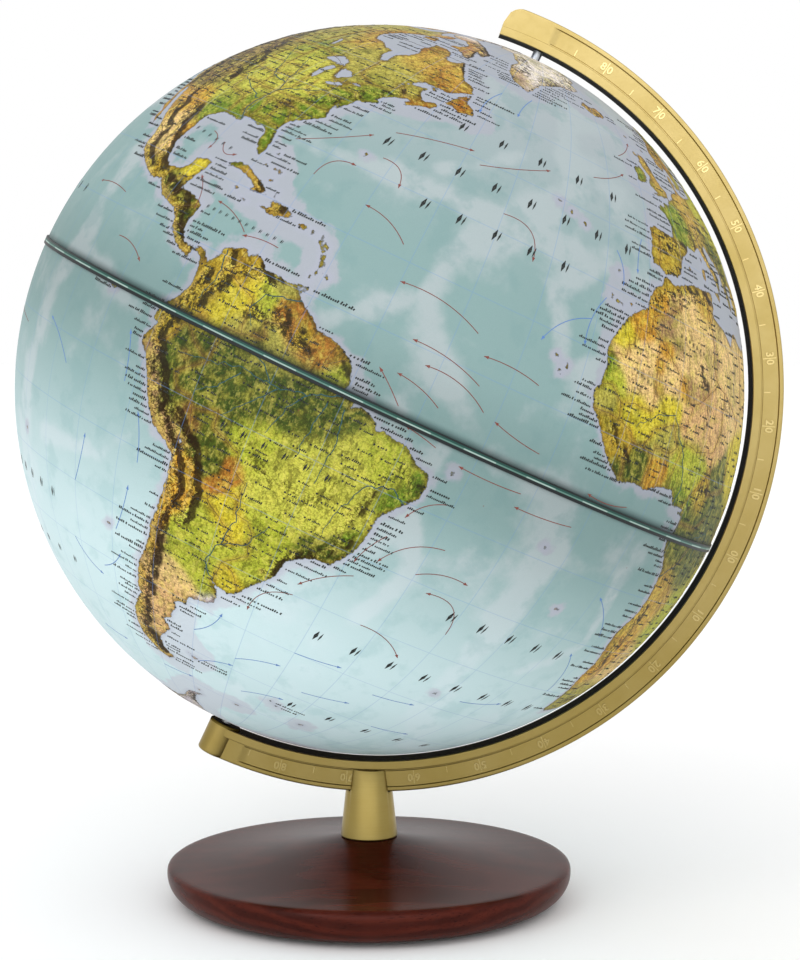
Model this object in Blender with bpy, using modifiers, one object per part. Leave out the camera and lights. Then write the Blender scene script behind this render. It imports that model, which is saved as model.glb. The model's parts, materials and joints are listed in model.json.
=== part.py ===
"""Desktop globe on stand.

A 30 cm ball turns on a tilted polar axis. A cast half meridian of T section carries it between a
fixed pin at the north pole and a sprung pin at the south pole. The meridian sits in the slot of a
tapered neck, and one long bolt from below ties base, neck and meridian together.

Units are metres and +Z is up. The origin is the centre of the felt pad's underside. The meridian
lies in the XZ plane. Everything on the polar axis is modelled in its own frame, with its origin at
the ball's centre and +Z at the north pole, and is parented to the empty that tilts that frame.
"""

import math

import bmesh
import bpy
from mathutils import Matrix

MM = 0.001
FIT = 0.3 * MM  # clearance between pieces that touch
CHAMFER = 0.5 * MM
OVERSHOOT = 1 * MM  # how far a cutter runs past the face it opens
FULL_TURN = 2 * math.pi

# Ball
BALL_R = 150 * MM
WALL = 2 * MM
AXIS_TILT = math.radians(25)
BALL_HEIGHT = 213 * MM
BALL_OFFSET = 4.7 * MM  # the ball's centre stands this far to +X of the neck's axis
LATITUDE_STEPS = 18  # per hemisphere
LONGITUDE_STEPS = 48
INNER_LATITUDE_STEPS = 12
GLUE_GAP = 0.9 * MM  # glue line between the shell and what is fixed inside it
SEAM_GAP = FIT
BAND_HALF_WIDTH = 1.5 * MM
BAND_STEPS = 72
BAND_THICKNESS = 0.45 * MM
SEAM_RING_HALF_WIDTH = 8 * MM
SEAM_RING_THICKNESS = 2.2 * MM

# Hubs, cups and dowel inside the ball
CUP_R = 3.8 * MM
CUP_TOP = BALL_R - 0.1 * MM
CUP_BOTTOM = BALL_R - 6.5 * MM
CUP_FLOOR = BALL_R - 4 * MM
HUB_FLANGE_R = 20 * MM
HUB_FLANGE_THICKNESS = 2 * MM
HUB_BOSS_R = 9 * MM
HUB_BOTTOM = BALL_R - 20 * MM
DOWEL_R = 6 * MM
SOCKET_FLOOR = BALL_R - 8.5 * MM

# Meridian: distances from the ball's centre, and half thicknesses along Y
ARC_INNER_R = 154 * MM
ARC_FLANGE_R = 157.6 * MM
PANEL_INNER_R = 158.1 * MM
PANEL_OUTER_R = 165.2 * MM
ARC_OUTER_R = 167 * MM
FLANGE_HALF = 6.7 * MM
RIM_HALF = 5.5 * MM
PANEL_HALF = 4.9 * MM
ARC_START = math.radians(-6.5)  # angles count from the north pole towards +X
ARC_END = math.radians(179.6)
PANEL_START = math.radians(1.2)
PANEL_END = math.radians(176)
ARC_STEPS = 56
END_ROUNDING = 7.5 * MM

# Pivots
PIVOT_R = 2 * MM
NORTH_PIN_TIP = BALL_R - 2.3 * MM
NORTH_PIN_ROOT = ARC_OUTER_R - 5.8 * MM
BARREL_R = 6.75 * MM
BARREL_STEPS = 40
BARREL_TOP = BALL_R + 2.8 * MM  # its end nearest the ball
BARREL_BOTTOM = ARC_OUTER_R
BARREL_EDGE_R = 1.2 * MM
BARREL_EDGE_POINTS = 4
BARREL_BORE_R = 4.6 * MM
BARREL_SHOULDER = BARREL_TOP + 2.8 * MM
PLUNGER_TIP = CUP_FLOOR + FIT
COLLAR_R = 4.2 * MM
COLLAR_THICKNESS = 1.5 * MM
TAIL_R = 2.3 * MM
TAIL_LENGTH = 2 * MM
PLUG_R = BARREL_BORE_R - FIT
PLUG_THICKNESS = 2.2 * MM
SLOT_WIDTH = 1.2 * MM
SLOT_DEPTH = 0.8 * MM
SPRING_R = 3.3 * MM
SPRING_WIRE_R = 0.3 * MM
SPRING_TURNS = 5
SPRING_POINTS_PER_TURN = 12

# Base
FELT_R = 70 * MM
FELT_THICKNESS = 1.2 * MM
BASE_BOTTOM = FELT_THICKNESS + FIT
CREASE_Z = 15.7 * MM
BASE_SIDE_R = 11 * MM  # radius of the rounded side, seen in section
BASE_R = 84.8 * MM
SEAT_R = 12.2 * MM
SEAT_Z = 26.1 * MM
FLARE_POWER = 1.7
FLARE_POINTS = 7
SIDE_POINTS = 7
BASE_STEPS = 56

# Neck
NECK_FOOT_R = 11.9 * MM
NECK_TOP_R = 8.65 * MM
NECK_BOTTOM = SEAT_Z + FIT
NECK_TOP = BALL_HEIGHT - ARC_FLANGE_R + OVERSHOOT  # trimmed to the flange's curve
NECK_HOLLOW_R = 7.2 * MM
NECK_HOLLOW_TOP = 38 * MM
NECK_STEPS = 48
CLEARANCE_FACETS = 180
LOCATING_PIN_R = 1.2 * MM
LOCATING_PIN_X = -9.6 * MM
LOCATING_PIN_DEPTH = 5 * MM  # into the neck and into the base
LOCATING_PIN_STEPS = 16

# Tie bolt, M5, and its washers, from the recess in the base upwards
BOLT_R = 2.5 * MM
BOLT_HOLE_R = BOLT_R + FIT
BOLT_TOP = BALL_HEIGHT - ARC_OUTER_R + 6.6 * MM
BOLT_HEAD_R = 4.25 * MM
BOLT_HEAD_HEIGHT = 5 * MM
HEX_R = 2.3 * MM
HEX_DEPTH = 2.5 * MM
RECESS_R = 9 * MM
RECESS_TOP = 10.8 * MM
WASHER_R = 7.5 * MM
WASHER_THICKNESS = 1 * MM
LOCK_WASHER_R = 4.5 * MM
LOCK_WASHER_THICKNESS = 1.1 * MM
LOCK_WASHER_SPLIT = math.radians(14)
SMALL_STEPS = 24
SHARP_ANGLE = math.radians(30)


# ---------------------------------------------------------------- scene and materials


def clear_scene():
    for obj in list(bpy.data.objects):
        bpy.data.objects.remove(obj, do_unlink=True)


def new_collection(name):
    collection = bpy.data.collections.new(name)
    bpy.context.scene.collection.children.link(collection)
    return collection


def new_material(name, colour, roughness, metallic=0.0):
    material = bpy.data.materials.new(name)
    material.use_nodes = True
    shader = material.node_tree.nodes["Principled BSDF"]
    shader.inputs["Base Color"].default_value = (*colour, 1.0)
    shader.inputs["Roughness"].default_value = roughness
    shader.inputs["Metallic"].default_value = metallic
    return material


clear_scene()
PARTS = new_collection("desktop_globe_on_stand")
CUTTERS = new_collection("cutters")

POLAR_AXIS = bpy.data.objects.new("polar_axis", None)
PARTS.objects.link(POLAR_AXIS)
POLAR_AXIS.location = (BALL_OFFSET, 0, BALL_HEIGHT)
POLAR_AXIS.rotation_euler = (0, AXIS_TILT, 0)

BRASS = new_material("satin_brass", (0.52, 0.41, 0.17), 0.34, 1.0)
STEEL = new_material("zinc_plated_steel", (0.62, 0.63, 0.65), 0.35, 1.0)
MAHOGANY = new_material("stained_mahogany", (0.055, 0.014, 0.008), 0.28)
FELT = new_material("felt", (0.02, 0.05, 0.03), 0.95)
MAP_PRINT = new_material("printed_map", (0.45, 0.62, 0.62), 0.5)
BAND_GREEN = new_material("band_green", (0.01, 0.08, 0.06), 0.35)
PLASTIC = new_material("moulded_plastic", (0.75, 0.74, 0.7), 0.45)
BEECH = new_material("beech", (0.6, 0.42, 0.25), 0.6)


# ---------------------------------------------------------------- modelling helpers


def place(obj, collection, polar):
    collection.objects.link(obj)
    if polar:
        obj.parent = POLAR_AXIS
    return obj


def part(name, mesh, material, polar=False):
    mesh.materials.append(material)
    return place(bpy.data.objects.new(name, mesh), PARTS, polar)


def cutter(name, mesh, polar=False):
    obj = place(bpy.data.objects.new(name, mesh), CUTTERS, polar)
    obj.hide_render = True
    obj.display_type = "WIRE"
    return obj


def outline_mesh(name, outline, closed):
    """Points (x, z) joined in their order, in the XZ plane."""
    count = len(outline)
    edges = [(i, (i + 1) % count) for i in range(count if closed else count - 1)]
    mesh = bpy.data.meshes.new(name)
    mesh.from_pydata([(x, 0, z) for x, z in outline], edges, [])
    return mesh


def turn(obj, steps):
    screw = obj.modifiers.new("turn", "SCREW")
    screw.steps = screw.render_steps = steps
    screw.use_merge_vertices = True
    screw.merge_threshold = 0.01 * MM
    return obj


def turned(name, outline, material, steps=SMALL_STEPS, closed=False, polar=False):
    """A solid turned about Z. The outline runs down its outer side; a closed one makes a ring."""
    return turn(part(name, outline_mesh(name, outline, closed), material, polar), steps)


def turned_cutter(name, outline, steps=SMALL_STEPS, polar=False):
    return turn(cutter(name, outline_mesh(name, outline, False), polar), steps)


def rod(radius, top, bottom):
    """Outline of a solid cylinder."""
    return [(0, top), (radius, top), (radius, bottom), (0, bottom)]


def ring(outer, inner, top, bottom):
    """Outline of a plain ring."""
    return [(inner, top), (outer, top), (outer, bottom), (inner, bottom)]


def arc_points(centre, radius, start, end, count):
    """Points on a circle in the XZ plane, from one angle to another, counted up from +X."""
    return [
        (
            centre[0] + radius * math.cos(start + (end - start) * i / (count - 1)),
            centre[1] + radius * math.sin(start + (end - start) * i / (count - 1)),
        )
        for i in range(count)
    ]


def flipped(outline):
    """The same outline mirrored to the south, still running down its outer side."""
    return [(x, -z) for x, z in reversed(outline)]


def swept_mesh(name, section, axis, start, end, steps):
    """A closed section swept about an axis through the origin, with its two ends filled."""
    bm = bmesh.new()
    loop = [bm.verts.new(point) for point in section]
    edges = [bm.edges.new((loop[i - 1], loop[i])) for i in range(len(loop))]
    bmesh.ops.rotate(bm, verts=loop, cent=(0, 0, 0), matrix=Matrix.Rotation(start, 3, axis))
    bmesh.ops.spin(
        bm, geom=loop + edges, cent=(0, 0, 0), axis=axis, angle=end - start, steps=steps
    )
    bmesh.ops.holes_fill(bm, edges=[edge for edge in bm.edges if edge.is_boundary])
    bmesh.ops.recalc_face_normals(bm, faces=bm.faces)
    mesh = bpy.data.meshes.new(name)
    bm.to_mesh(mesh)
    bm.free()
    return mesh


def meridian_section(inner, outer, low, high):
    """Rectangle at the north pole, from radius inner to outer and from y low to high."""
    return [(0, low, inner), (0, high, inner), (0, high, outer), (0, low, outer)]


def prism_mesh(name, outline, half_depth):
    """An outline in the XZ plane, thickened to both sides along Y."""
    bm = bmesh.new()
    face = bm.faces.new([bm.verts.new((x, -half_depth, z)) for x, z in outline])
    made = bmesh.ops.extrude_face_region(bm, geom=[face])
    moved = [item for item in made["geom"] if isinstance(item, bmesh.types.BMVert)]
    bmesh.ops.translate(bm, verts=moved, vec=(0, 2 * half_depth, 0))
    bmesh.ops.recalc_face_normals(bm, faces=bm.faces)
    mesh = bpy.data.meshes.new(name)
    bm.to_mesh(mesh)
    bm.free()
    return mesh


def boolean(target, operation, tool):
    modifier = target.modifiers.new(tool.name, "BOOLEAN")
    modifier.operation = operation
    modifier.solver = "EXACT"
    modifier.object = tool


def cut(target, tool):
    boolean(target, "DIFFERENCE", tool)


def join(target, tool):
    boolean(target, "UNION", tool)


# ---------------------------------------------------------------- base and its fasteners


def make_base():
    flare = []
    for i in range(1, FLARE_POINTS):
        inward = 1 - i / FLARE_POINTS
        radius = SEAT_R + (crease_radius() - SEAT_R) * (1 - inward)
        flare.append((radius, CREASE_Z + (SEAT_Z - CREASE_Z) * inward**FLARE_POWER))
    side = arc_points(side_centre(), BASE_SIDE_R, crease_angle(), -math.pi / 2, SIDE_POINTS)
    outline = [(BOLT_HOLE_R, SEAT_Z), (SEAT_R, SEAT_Z), *flare, *side]
    outline += [(RECESS_R, BASE_BOTTOM), (RECESS_R, RECESS_TOP), (BOLT_HOLE_R, RECESS_TOP)]
    base = turned("base", outline, MAHOGANY, BASE_STEPS, closed=True)
    cut(base, locating_hole("locating_hole_in_base"))


def side_centre():
    return BASE_R - BASE_SIDE_R, BASE_BOTTOM + BASE_SIDE_R


def crease_angle():
    return math.asin((CREASE_Z - side_centre()[1]) / BASE_SIDE_R)


def crease_radius():
    return side_centre()[0] + BASE_SIDE_R * math.cos(crease_angle())


def locating_hole(name):
    reach = LOCATING_PIN_DEPTH + FIT
    outline = rod(LOCATING_PIN_R + FIT, NECK_BOTTOM + reach, SEAT_Z - reach)
    hole = turned_cutter(name, outline, LOCATING_PIN_STEPS)
    hole.location.x = LOCATING_PIN_X
    return hole


def make_felt_pad():
    turned("base_felt_pad", rod(FELT_R, FELT_THICKNESS, 0), FELT, BASE_STEPS)


def make_tie_bolt():
    washer_top = RECESS_TOP - FIT
    washer_bottom = washer_top - WASHER_THICKNESS
    turned(
        "tie_washer", ring(WASHER_R, BOLT_HOLE_R, washer_top, washer_bottom), STEEL, closed=True
    )
    lock_top = washer_bottom - FIT
    lock_bottom = lock_top - LOCK_WASHER_THICKNESS
    section = [(x, 0, z) for x, z in ring(LOCK_WASHER_R, BOLT_HOLE_R, lock_top, lock_bottom)]
    split = swept_mesh(
        "tie_lock_washer", section, (0, 0, 1), 0, FULL_TURN - LOCK_WASHER_SPLIT, SMALL_STEPS
    )
    part("tie_lock_washer", split, STEEL)
    head_top = lock_bottom - FIT
    head_bottom = head_top - BOLT_HEAD_HEIGHT
    outline = [(0, BOLT_TOP), (BOLT_R - CHAMFER, BOLT_TOP), (BOLT_R, BOLT_TOP - CHAMFER)]
    outline += [(BOLT_R, head_top), (BOLT_HEAD_R, head_top)]
    outline += [(BOLT_HEAD_R, head_bottom), (0, head_bottom)]
    bolt = turned("tie_bolt", outline, STEEL)
    hexagon = rod(HEX_R, head_bottom + HEX_DEPTH, head_bottom - HEX_DEPTH)
    cut(bolt, turned_cutter("hex_socket", hexagon, steps=6))


def make_locating_pin():
    top, bottom = NECK_BOTTOM + LOCATING_PIN_DEPTH, SEAT_Z - LOCATING_PIN_DEPTH
    pin = turned("neck_locating_pin", rod(LOCATING_PIN_R, top, bottom), STEEL, LOCATING_PIN_STEPS)
    pin.location.x = LOCATING_PIN_X


# ---------------------------------------------------------------- neck


def make_neck():
    outline = [(BOLT_HOLE_R + FIT, NECK_TOP), (NECK_TOP_R, NECK_TOP)]
    outline += [(NECK_FOOT_R, NECK_BOTTOM + CHAMFER), (NECK_FOOT_R - CHAMFER / 2, NECK_BOTTOM)]
    outline += [(NECK_HOLLOW_R, NECK_BOTTOM), (NECK_HOLLOW_R, NECK_HOLLOW_TOP)]
    outline += [(BOLT_HOLE_R + FIT, NECK_HOLLOW_TOP)]
    neck = turned("neck", outline, BRASS, NECK_STEPS, closed=True)
    cut(neck, meridian_clearance("flange_clearance", ARC_FLANGE_R + FIT, NECK_FOOT_R))
    cut(neck, meridian_clearance("neck_slot", ARC_OUTER_R + FIT, RIM_HALF + FIT))
    cut(neck, locating_hole("locating_hole_in_neck"))


def meridian_clearance(name, radius, half_width):
    """A disc about the ball's centre, which leaves room for the meridian in the neck."""
    outline = arc_points((0, 0), radius, 0, FULL_TURN, CLEARANCE_FACETS + 1)[:-1]
    disc = cutter(name, prism_mesh(name, outline, half_width))
    disc.location = (BALL_OFFSET, 0, BALL_HEIGHT)
    return disc


# ---------------------------------------------------------------- meridian with its barrel


def make_meridian():
    front = [(-FLANGE_HALF, ARC_INNER_R), (-FLANGE_HALF, ARC_FLANGE_R)]
    front += [(-RIM_HALF, ARC_FLANGE_R), (-RIM_HALF, ARC_OUTER_R)]
    back = [(-y, radius) for y, radius in reversed(front)]
    section = [(0, y, radius) for y, radius in front + back]
    mesh = swept_mesh("meridian_arc", section, (0, 1, 0), ARC_START, ARC_END, ARC_STEPS)
    meridian = part("meridian_arc", mesh, BRASS, polar=True)
    cut(meridian, barrel_core())
    join(meridian, barrel())
    pin_hole = rod(PIVOT_R + FIT, NORTH_PIN_ROOT + FIT, BALL_R)
    cut(meridian, turned_cutter("north_pin_hole", pin_hole, polar=True))
    bolt_hole = rod(BOLT_HOLE_R, BOLT_TOP + FIT, NECK_HOLLOW_TOP)
    cut(meridian, turned_cutter("bolt_hole_in_meridian", bolt_hole))
    cut(meridian, end_rounding())
    for name, side in (("scale_panel_front", -1), ("scale_panel_back", 1)):
        panel = meridian_section(
            PANEL_INNER_R, PANEL_OUTER_R, side * PANEL_HALF, side * (RIM_HALF + FIT)
        )
        recess = swept_mesh(name, panel, (0, 1, 0), PANEL_START, PANEL_END, ARC_STEPS)
        cut(meridian, cutter(name, recess, polar=True))


def end_rounding():
    """Takes the outer corner off the meridian's free end."""
    corner = ARC_OUTER_R + OVERSHOOT
    centre = (END_ROUNDING, ARC_OUTER_R - END_ROUNDING)
    outline = [(-OVERSHOOT, corner), (-OVERSHOOT, centre[1])]
    outline += arc_points(centre, END_ROUNDING, math.pi, math.pi / 2, SIDE_POINTS)
    outline += [(END_ROUNDING, corner)]
    tool = cutter("end_rounding", prism_mesh("end_rounding", outline, FLANGE_HALF + FIT), polar=True)
    tool.rotation_euler.y = ARC_START
    return tool


def barrel_core():
    """Clears the meridian's end from the middle of the barrel's wall inwards."""
    wall_middle = (BARREL_BORE_R + BARREL_R) / 2
    outline = rod(wall_middle, -BALL_R, -BARREL_BOTTOM - OVERSHOOT)
    return turned_cutter("barrel_core", outline, BARREL_STEPS, polar=True)


def barrel():
    """The barrel's tube, open at its outer end, with a shoulder that stops the pivot pin's collar."""
    hole = PIVOT_R + FIT
    centre = (BARREL_R - BARREL_EDGE_R, BARREL_EDGE_R - BARREL_BOTTOM)
    edge = arc_points(centre, BARREL_EDGE_R, 0, -math.pi / 2, BARREL_EDGE_POINTS)
    outline = [(hole, -BARREL_TOP), (BARREL_R, -BARREL_TOP), *edge]
    outline += [(BARREL_BORE_R, -BARREL_BOTTOM), (BARREL_BORE_R, -BARREL_SHOULDER)]
    outline += [(hole, -BARREL_SHOULDER)]
    tube = cutter("barrel", outline_mesh("barrel", outline, True), polar=True)
    return turn(tube, BARREL_STEPS)


# ---------------------------------------------------------------- pivots


def make_north_pivot_pin():
    outline = [(0, NORTH_PIN_ROOT), (PIVOT_R, NORTH_PIN_ROOT), (PIVOT_R, NORTH_PIN_TIP + CHAMFER)]
    outline += [(PIVOT_R - CHAMFER, NORTH_PIN_TIP), (0, NORTH_PIN_TIP)]
    turned("north_pivot_pin", outline, STEEL, polar=True)


def collar_top():
    return -(BARREL_SHOULDER + FIT)


def plug_top():
    return -(BARREL_BOTTOM - FIT - PLUG_THICKNESS)


def make_south_pivot_pin():
    tip = PIVOT_R / 2
    collar_bottom = collar_top() - COLLAR_THICKNESS
    outline = [(0, -PLUNGER_TIP), (tip, -PLUNGER_TIP), (PIVOT_R, -PLUNGER_TIP - tip)]
    outline += [(PIVOT_R, collar_top()), (COLLAR_R, collar_top()), (COLLAR_R, collar_bottom)]
    outline += [(TAIL_R, collar_bottom), (TAIL_R, collar_bottom - TAIL_LENGTH)]
    outline += [(0, collar_bottom - TAIL_LENGTH)]
    turned("south_pivot_pin", outline, STEEL, polar=True)


def make_barrel_plug():
    bottom = plug_top() - PLUG_THICKNESS
    plug = turned("barrel_plug", rod(PLUG_R, plug_top(), bottom), BRASS, polar=True)
    half = SLOT_WIDTH / 2
    outline = [(-half, bottom - half), (half, bottom - half)]
    outline += [(half, bottom + SLOT_DEPTH), (-half, bottom + SLOT_DEPTH)]
    slot = prism_mesh("plug_slot", outline, BARREL_R)
    cut(plug, cutter("plug_slot", slot, polar=True))


def make_pivot_spring():
    top = collar_top() - COLLAR_THICKNESS - FIT - SPRING_WIRE_R
    bottom = plug_top() + FIT + SPRING_WIRE_R
    count = SPRING_TURNS * SPRING_POINTS_PER_TURN + 1
    curve = bpy.data.curves.new("pivot_spring", "CURVE")
    curve.dimensions = "3D"
    curve.bevel_depth = SPRING_WIRE_R
    curve.bevel_resolution = 1
    curve.use_fill_caps = True
    spline = curve.splines.new("POLY")
    spline.points.add(count - 1)
    for i, point in enumerate(spline.points):
        along = i / (count - 1)
        angle = FULL_TURN * SPRING_TURNS * along
        height = top + (bottom - top) * along
        point.co = (SPRING_R * math.cos(angle), SPRING_R * math.sin(angle), height, 1)
    curve.materials.append(STEEL)
    place(bpy.data.objects.new("pivot_spring", curve), PARTS, polar=True)


# ---------------------------------------------------------------- ball


def shell_outline():
    """Section of the northern half: outside from the pole's hole to the seam, inside back up."""
    hole = CUP_R + FIT
    inside_r = BALL_R - WALL
    outside = arc_points(
        (0, 0), BALL_R, math.acos(hole / BALL_R), math.asin(SEAM_GAP / 2 / BALL_R), LATITUDE_STEPS + 1
    )
    inside = arc_points(
        (0, 0),
        inside_r,
        math.asin(SEAM_GAP / 2 / inside_r),
        math.acos(hole / inside_r),
        INNER_LATITUDE_STEPS + 1,
    )
    return outside + inside


def hub_outline():
    """Disc that follows the inside of the ball, with a boss that takes the cup and the dowel.

    The outline starts at the axis on the floor of the cup's bore and ends there on its underside.
    """
    outside_r = BALL_R - WALL - GLUE_GAP
    inside_r = outside_r - HUB_FLANGE_THICKNESS
    bore = CUP_R + FIT
    socket = DOWEL_R + FIT
    top = arc_points(
        (0, 0), outside_r, math.acos(bore / outside_r), math.acos(HUB_FLANGE_R / outside_r), 4
    )
    under = arc_points(
        (0, 0), inside_r, math.acos(HUB_FLANGE_R / inside_r), math.acos(HUB_BOSS_R / inside_r), 3
    )
    outline = [(0, CUP_BOTTOM - FIT), (bore, CUP_BOTTOM - FIT), *top, *under]
    outline += [(HUB_BOSS_R, HUB_BOTTOM), (socket, HUB_BOTTOM), (socket, SOCKET_FLOOR)]
    return outline + [(0, SOCKET_FLOOR)]


def cup_outline():
    bore = PIVOT_R + FIT
    outline = [(0, CUP_FLOOR), (bore, CUP_FLOOR), (bore, CUP_TOP), (CUP_R, CUP_TOP)]
    return outline + [(CUP_R, CUP_BOTTOM), (0, CUP_BOTTOM)]


def make_ball():
    shell = shell_outline()
    for name, outline in (("northern_hemisphere", shell), ("southern_hemisphere", flipped(shell))):
        turned(name, outline, MAP_PRINT, LONGITUDE_STEPS, closed=True, polar=True)
    turned("north_hub", hub_outline(), PLASTIC, polar=True)
    turned("south_hub", flipped(hub_outline()), PLASTIC, polar=True)
    turned("north_pivot_cup", cup_outline(), BRASS, polar=True)
    turned("south_pivot_cup", flipped(cup_outline()), BRASS, polar=True)
    dowel_end = SOCKET_FLOOR - FIT
    turned("axle_dowel", rod(DOWEL_R, dowel_end, -dowel_end), BEECH, polar=True)
    make_band()
    make_seam_ring()


def make_band():
    inner = BALL_R + FIT
    outline = ring(inner + BAND_THICKNESS, inner, BAND_HALF_WIDTH, -BAND_HALF_WIDTH)
    turned("equator_band", outline, BAND_GREEN, BAND_STEPS, closed=True, polar=True)


def make_seam_ring():
    outer = BALL_R - WALL - GLUE_GAP
    edge = math.sqrt(outer**2 - SEAM_RING_HALF_WIDTH**2)
    inner = outer - SEAM_RING_THICKNESS
    outline = [(inner, SEAM_RING_HALF_WIDTH), (edge, SEAM_RING_HALF_WIDTH), (outer, 0)]
    outline += [(edge, -SEAM_RING_HALF_WIDTH), (inner, -SEAM_RING_HALF_WIDTH)]
    turned("seam_ring", outline, PLASTIC, LONGITUDE_STEPS, closed=True, polar=True)


# ---------------------------------------------------------------- shading


def shade_round(parts):
    """Applies the modifiers and shades each piece smooth between its sharp edges."""
    graph = bpy.context.evaluated_depsgraph_get()
    solids = {obj: bpy.data.meshes.new_from_object(obj.evaluated_get(graph)) for obj in parts}
    for obj, mesh in solids.items():
        obj.modifiers.clear()
        obj.data = mesh
        mesh.shade_smooth()
        mesh.set_sharp_from_angle(angle=SHARP_ANGLE)


make_base()
make_felt_pad()
make_tie_bolt()
make_locating_pin()
make_neck()
make_meridian()
make_north_pivot_pin()
make_south_pivot_pin()
make_barrel_plug()
make_pivot_spring()
make_ball()
bpy.context.view_layer.update()
shade_round([obj for obj in PARTS.objects if obj.type == "MESH"])
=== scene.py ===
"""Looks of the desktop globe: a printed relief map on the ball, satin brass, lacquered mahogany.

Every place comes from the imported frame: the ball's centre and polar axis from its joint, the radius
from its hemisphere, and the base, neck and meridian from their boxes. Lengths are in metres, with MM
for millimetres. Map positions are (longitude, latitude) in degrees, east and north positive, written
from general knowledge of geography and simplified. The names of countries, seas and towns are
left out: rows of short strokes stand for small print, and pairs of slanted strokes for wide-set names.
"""
import contextlib
import json
import math
import random

import bmesh
import bpy
import numpy as np
from mathutils import Matrix, Vector, noise


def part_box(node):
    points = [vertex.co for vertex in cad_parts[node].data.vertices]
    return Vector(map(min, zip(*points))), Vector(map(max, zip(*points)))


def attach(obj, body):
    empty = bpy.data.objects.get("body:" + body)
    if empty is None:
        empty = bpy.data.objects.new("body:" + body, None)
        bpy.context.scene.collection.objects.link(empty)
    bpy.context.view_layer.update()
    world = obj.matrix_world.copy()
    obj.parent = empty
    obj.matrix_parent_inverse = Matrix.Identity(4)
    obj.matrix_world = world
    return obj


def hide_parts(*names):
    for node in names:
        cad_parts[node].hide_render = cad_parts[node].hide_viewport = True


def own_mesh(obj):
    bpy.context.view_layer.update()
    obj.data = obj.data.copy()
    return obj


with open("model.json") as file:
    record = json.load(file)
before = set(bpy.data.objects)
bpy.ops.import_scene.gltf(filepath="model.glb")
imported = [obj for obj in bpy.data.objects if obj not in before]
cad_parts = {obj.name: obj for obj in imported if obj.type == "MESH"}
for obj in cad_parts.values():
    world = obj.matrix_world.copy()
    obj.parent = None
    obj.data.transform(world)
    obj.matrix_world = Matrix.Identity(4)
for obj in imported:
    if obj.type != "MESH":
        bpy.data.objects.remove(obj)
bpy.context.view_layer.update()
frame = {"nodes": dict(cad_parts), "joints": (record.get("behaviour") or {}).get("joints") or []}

MM = 0.001
RNG = random.Random(12)
noise.seed_set(12)  # without it, noise_vector starts from the time of day

# The polar axis and the ball
SPIN = next(joint for joint in frame["joints"] if joint["name"] == "ball_spin")
CENTRE = Vector(SPIN["pos_m"])
AXIS = Vector(SPIN["axis"]).normalized()
BALL_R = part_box("northern_hemisphere")[1].y
WALL = 2 * MM
POLE_HOLE_R = 4.1 * MM
SEAM_HALF = 0.15 * MM
RELIEF = 0.5 * MM  # height of the tallest mountains above the sea
SEA_R = BALL_R - 0.05 * MM - RELIEF
LON_STEPS = 600
LAT_STEPS = 150
INNER_STEPS = 10
FACING_LONGITUDE = -45  # the meridian of the map that faces the camera
TOP_LATITUDE = 90 - math.degrees(math.asin(POLE_HOLE_R / BALL_R))
SEAM_LATITUDE = math.degrees(SEAM_HALF / BALL_R)

POLAR = Matrix.Translation(CENTRE) @ Matrix.Rotation(math.atan2(AXIS.x, AXIS.z), 4, "Y")
GEO = POLAR @ Matrix.Rotation(math.radians(-90 - FACING_LONGITUDE), 4, "Z")
SOUTH = POLAR @ Matrix.Rotation(math.pi, 4, "X")  # the axis seen from the south pole, as up
MM_PER_DEGREE = math.pi / 180 * BALL_R / MM

# Mountains on the ball
RIDGE_SCALE = 34
CREST_WOBBLE, WOBBLE_SCALE = 0.02, 26  # how far crests stray from their lines, and how finely
HILLS_FROM = 0.04  # the least height, 0 to 1, that gets carved

# Print on the map, in millimetres where MM isn't named
INK_PROUD = 0.05 * MM
INK_SUNK = 0.25 * MM
ARROW_HALF = 0.14
ARROW_HEAD = 1.7
ARROW_STEPS = 12
STROKE_PITCH = 0.42  # of the print's height
STROKE_HALF = 0.14
COAST_SPACING = 1.25
TOWN_TRIES = 9000

# Meridian: distances from the ball's centre and half thicknesses
ARC_OUTER_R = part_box("meridian_arc")[1].x - CENTRE.x
FLANGE_INNER_R = ARC_OUTER_R - 13 * MM
FLANGE_OUTER_R = ARC_OUTER_R - 9.4 * MM
FLANGE_HALF = 6.7 * MM
RIM_HALF = 5.5 * MM
PANEL_DEPTH = 0.6 * MM
PANEL_INNER_R = ARC_OUTER_R - 8.9 * MM
PANEL_OUTER_R = ARC_OUTER_R - 1.8 * MM
ARC_START, ARC_END = math.radians(-6.5), math.radians(179.6)
PANEL_START, PANEL_END = math.radians(1.2), math.radians(176)
END_ROUNDING = 7.5 * MM
ARC_STEP = math.radians(0.5)
PANEL_RAMP = math.radians(0.25)
NUMERAL_RADIUS = ARC_OUTER_R - 5.5 * MM
NUMERAL_DEPTH = 0.3 * MM
NUMERAL_TALL = 3.1 * MM
LONG_TICK, SHORT_TICK, TICK_WIDE = 5.4 * MM, 2.6 * MM, 0.4 * MM

# Barrel of the south pivot
BARREL_R = 6.75 * MM
BARREL_BORE_R = 4.6 * MM
BARREL_TOP = BALL_R + 2.8 * MM
BARREL_SHOULDER = BARREL_TOP + 2.8 * MM
PIN_R = 2 * MM
COLLAR_R, TAIL_R = 4.2 * MM, 2.3 * MM
SPRING_R, WIRE_R, SPRING_TURNS = 3.3 * MM, 0.3 * MM, 5

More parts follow.
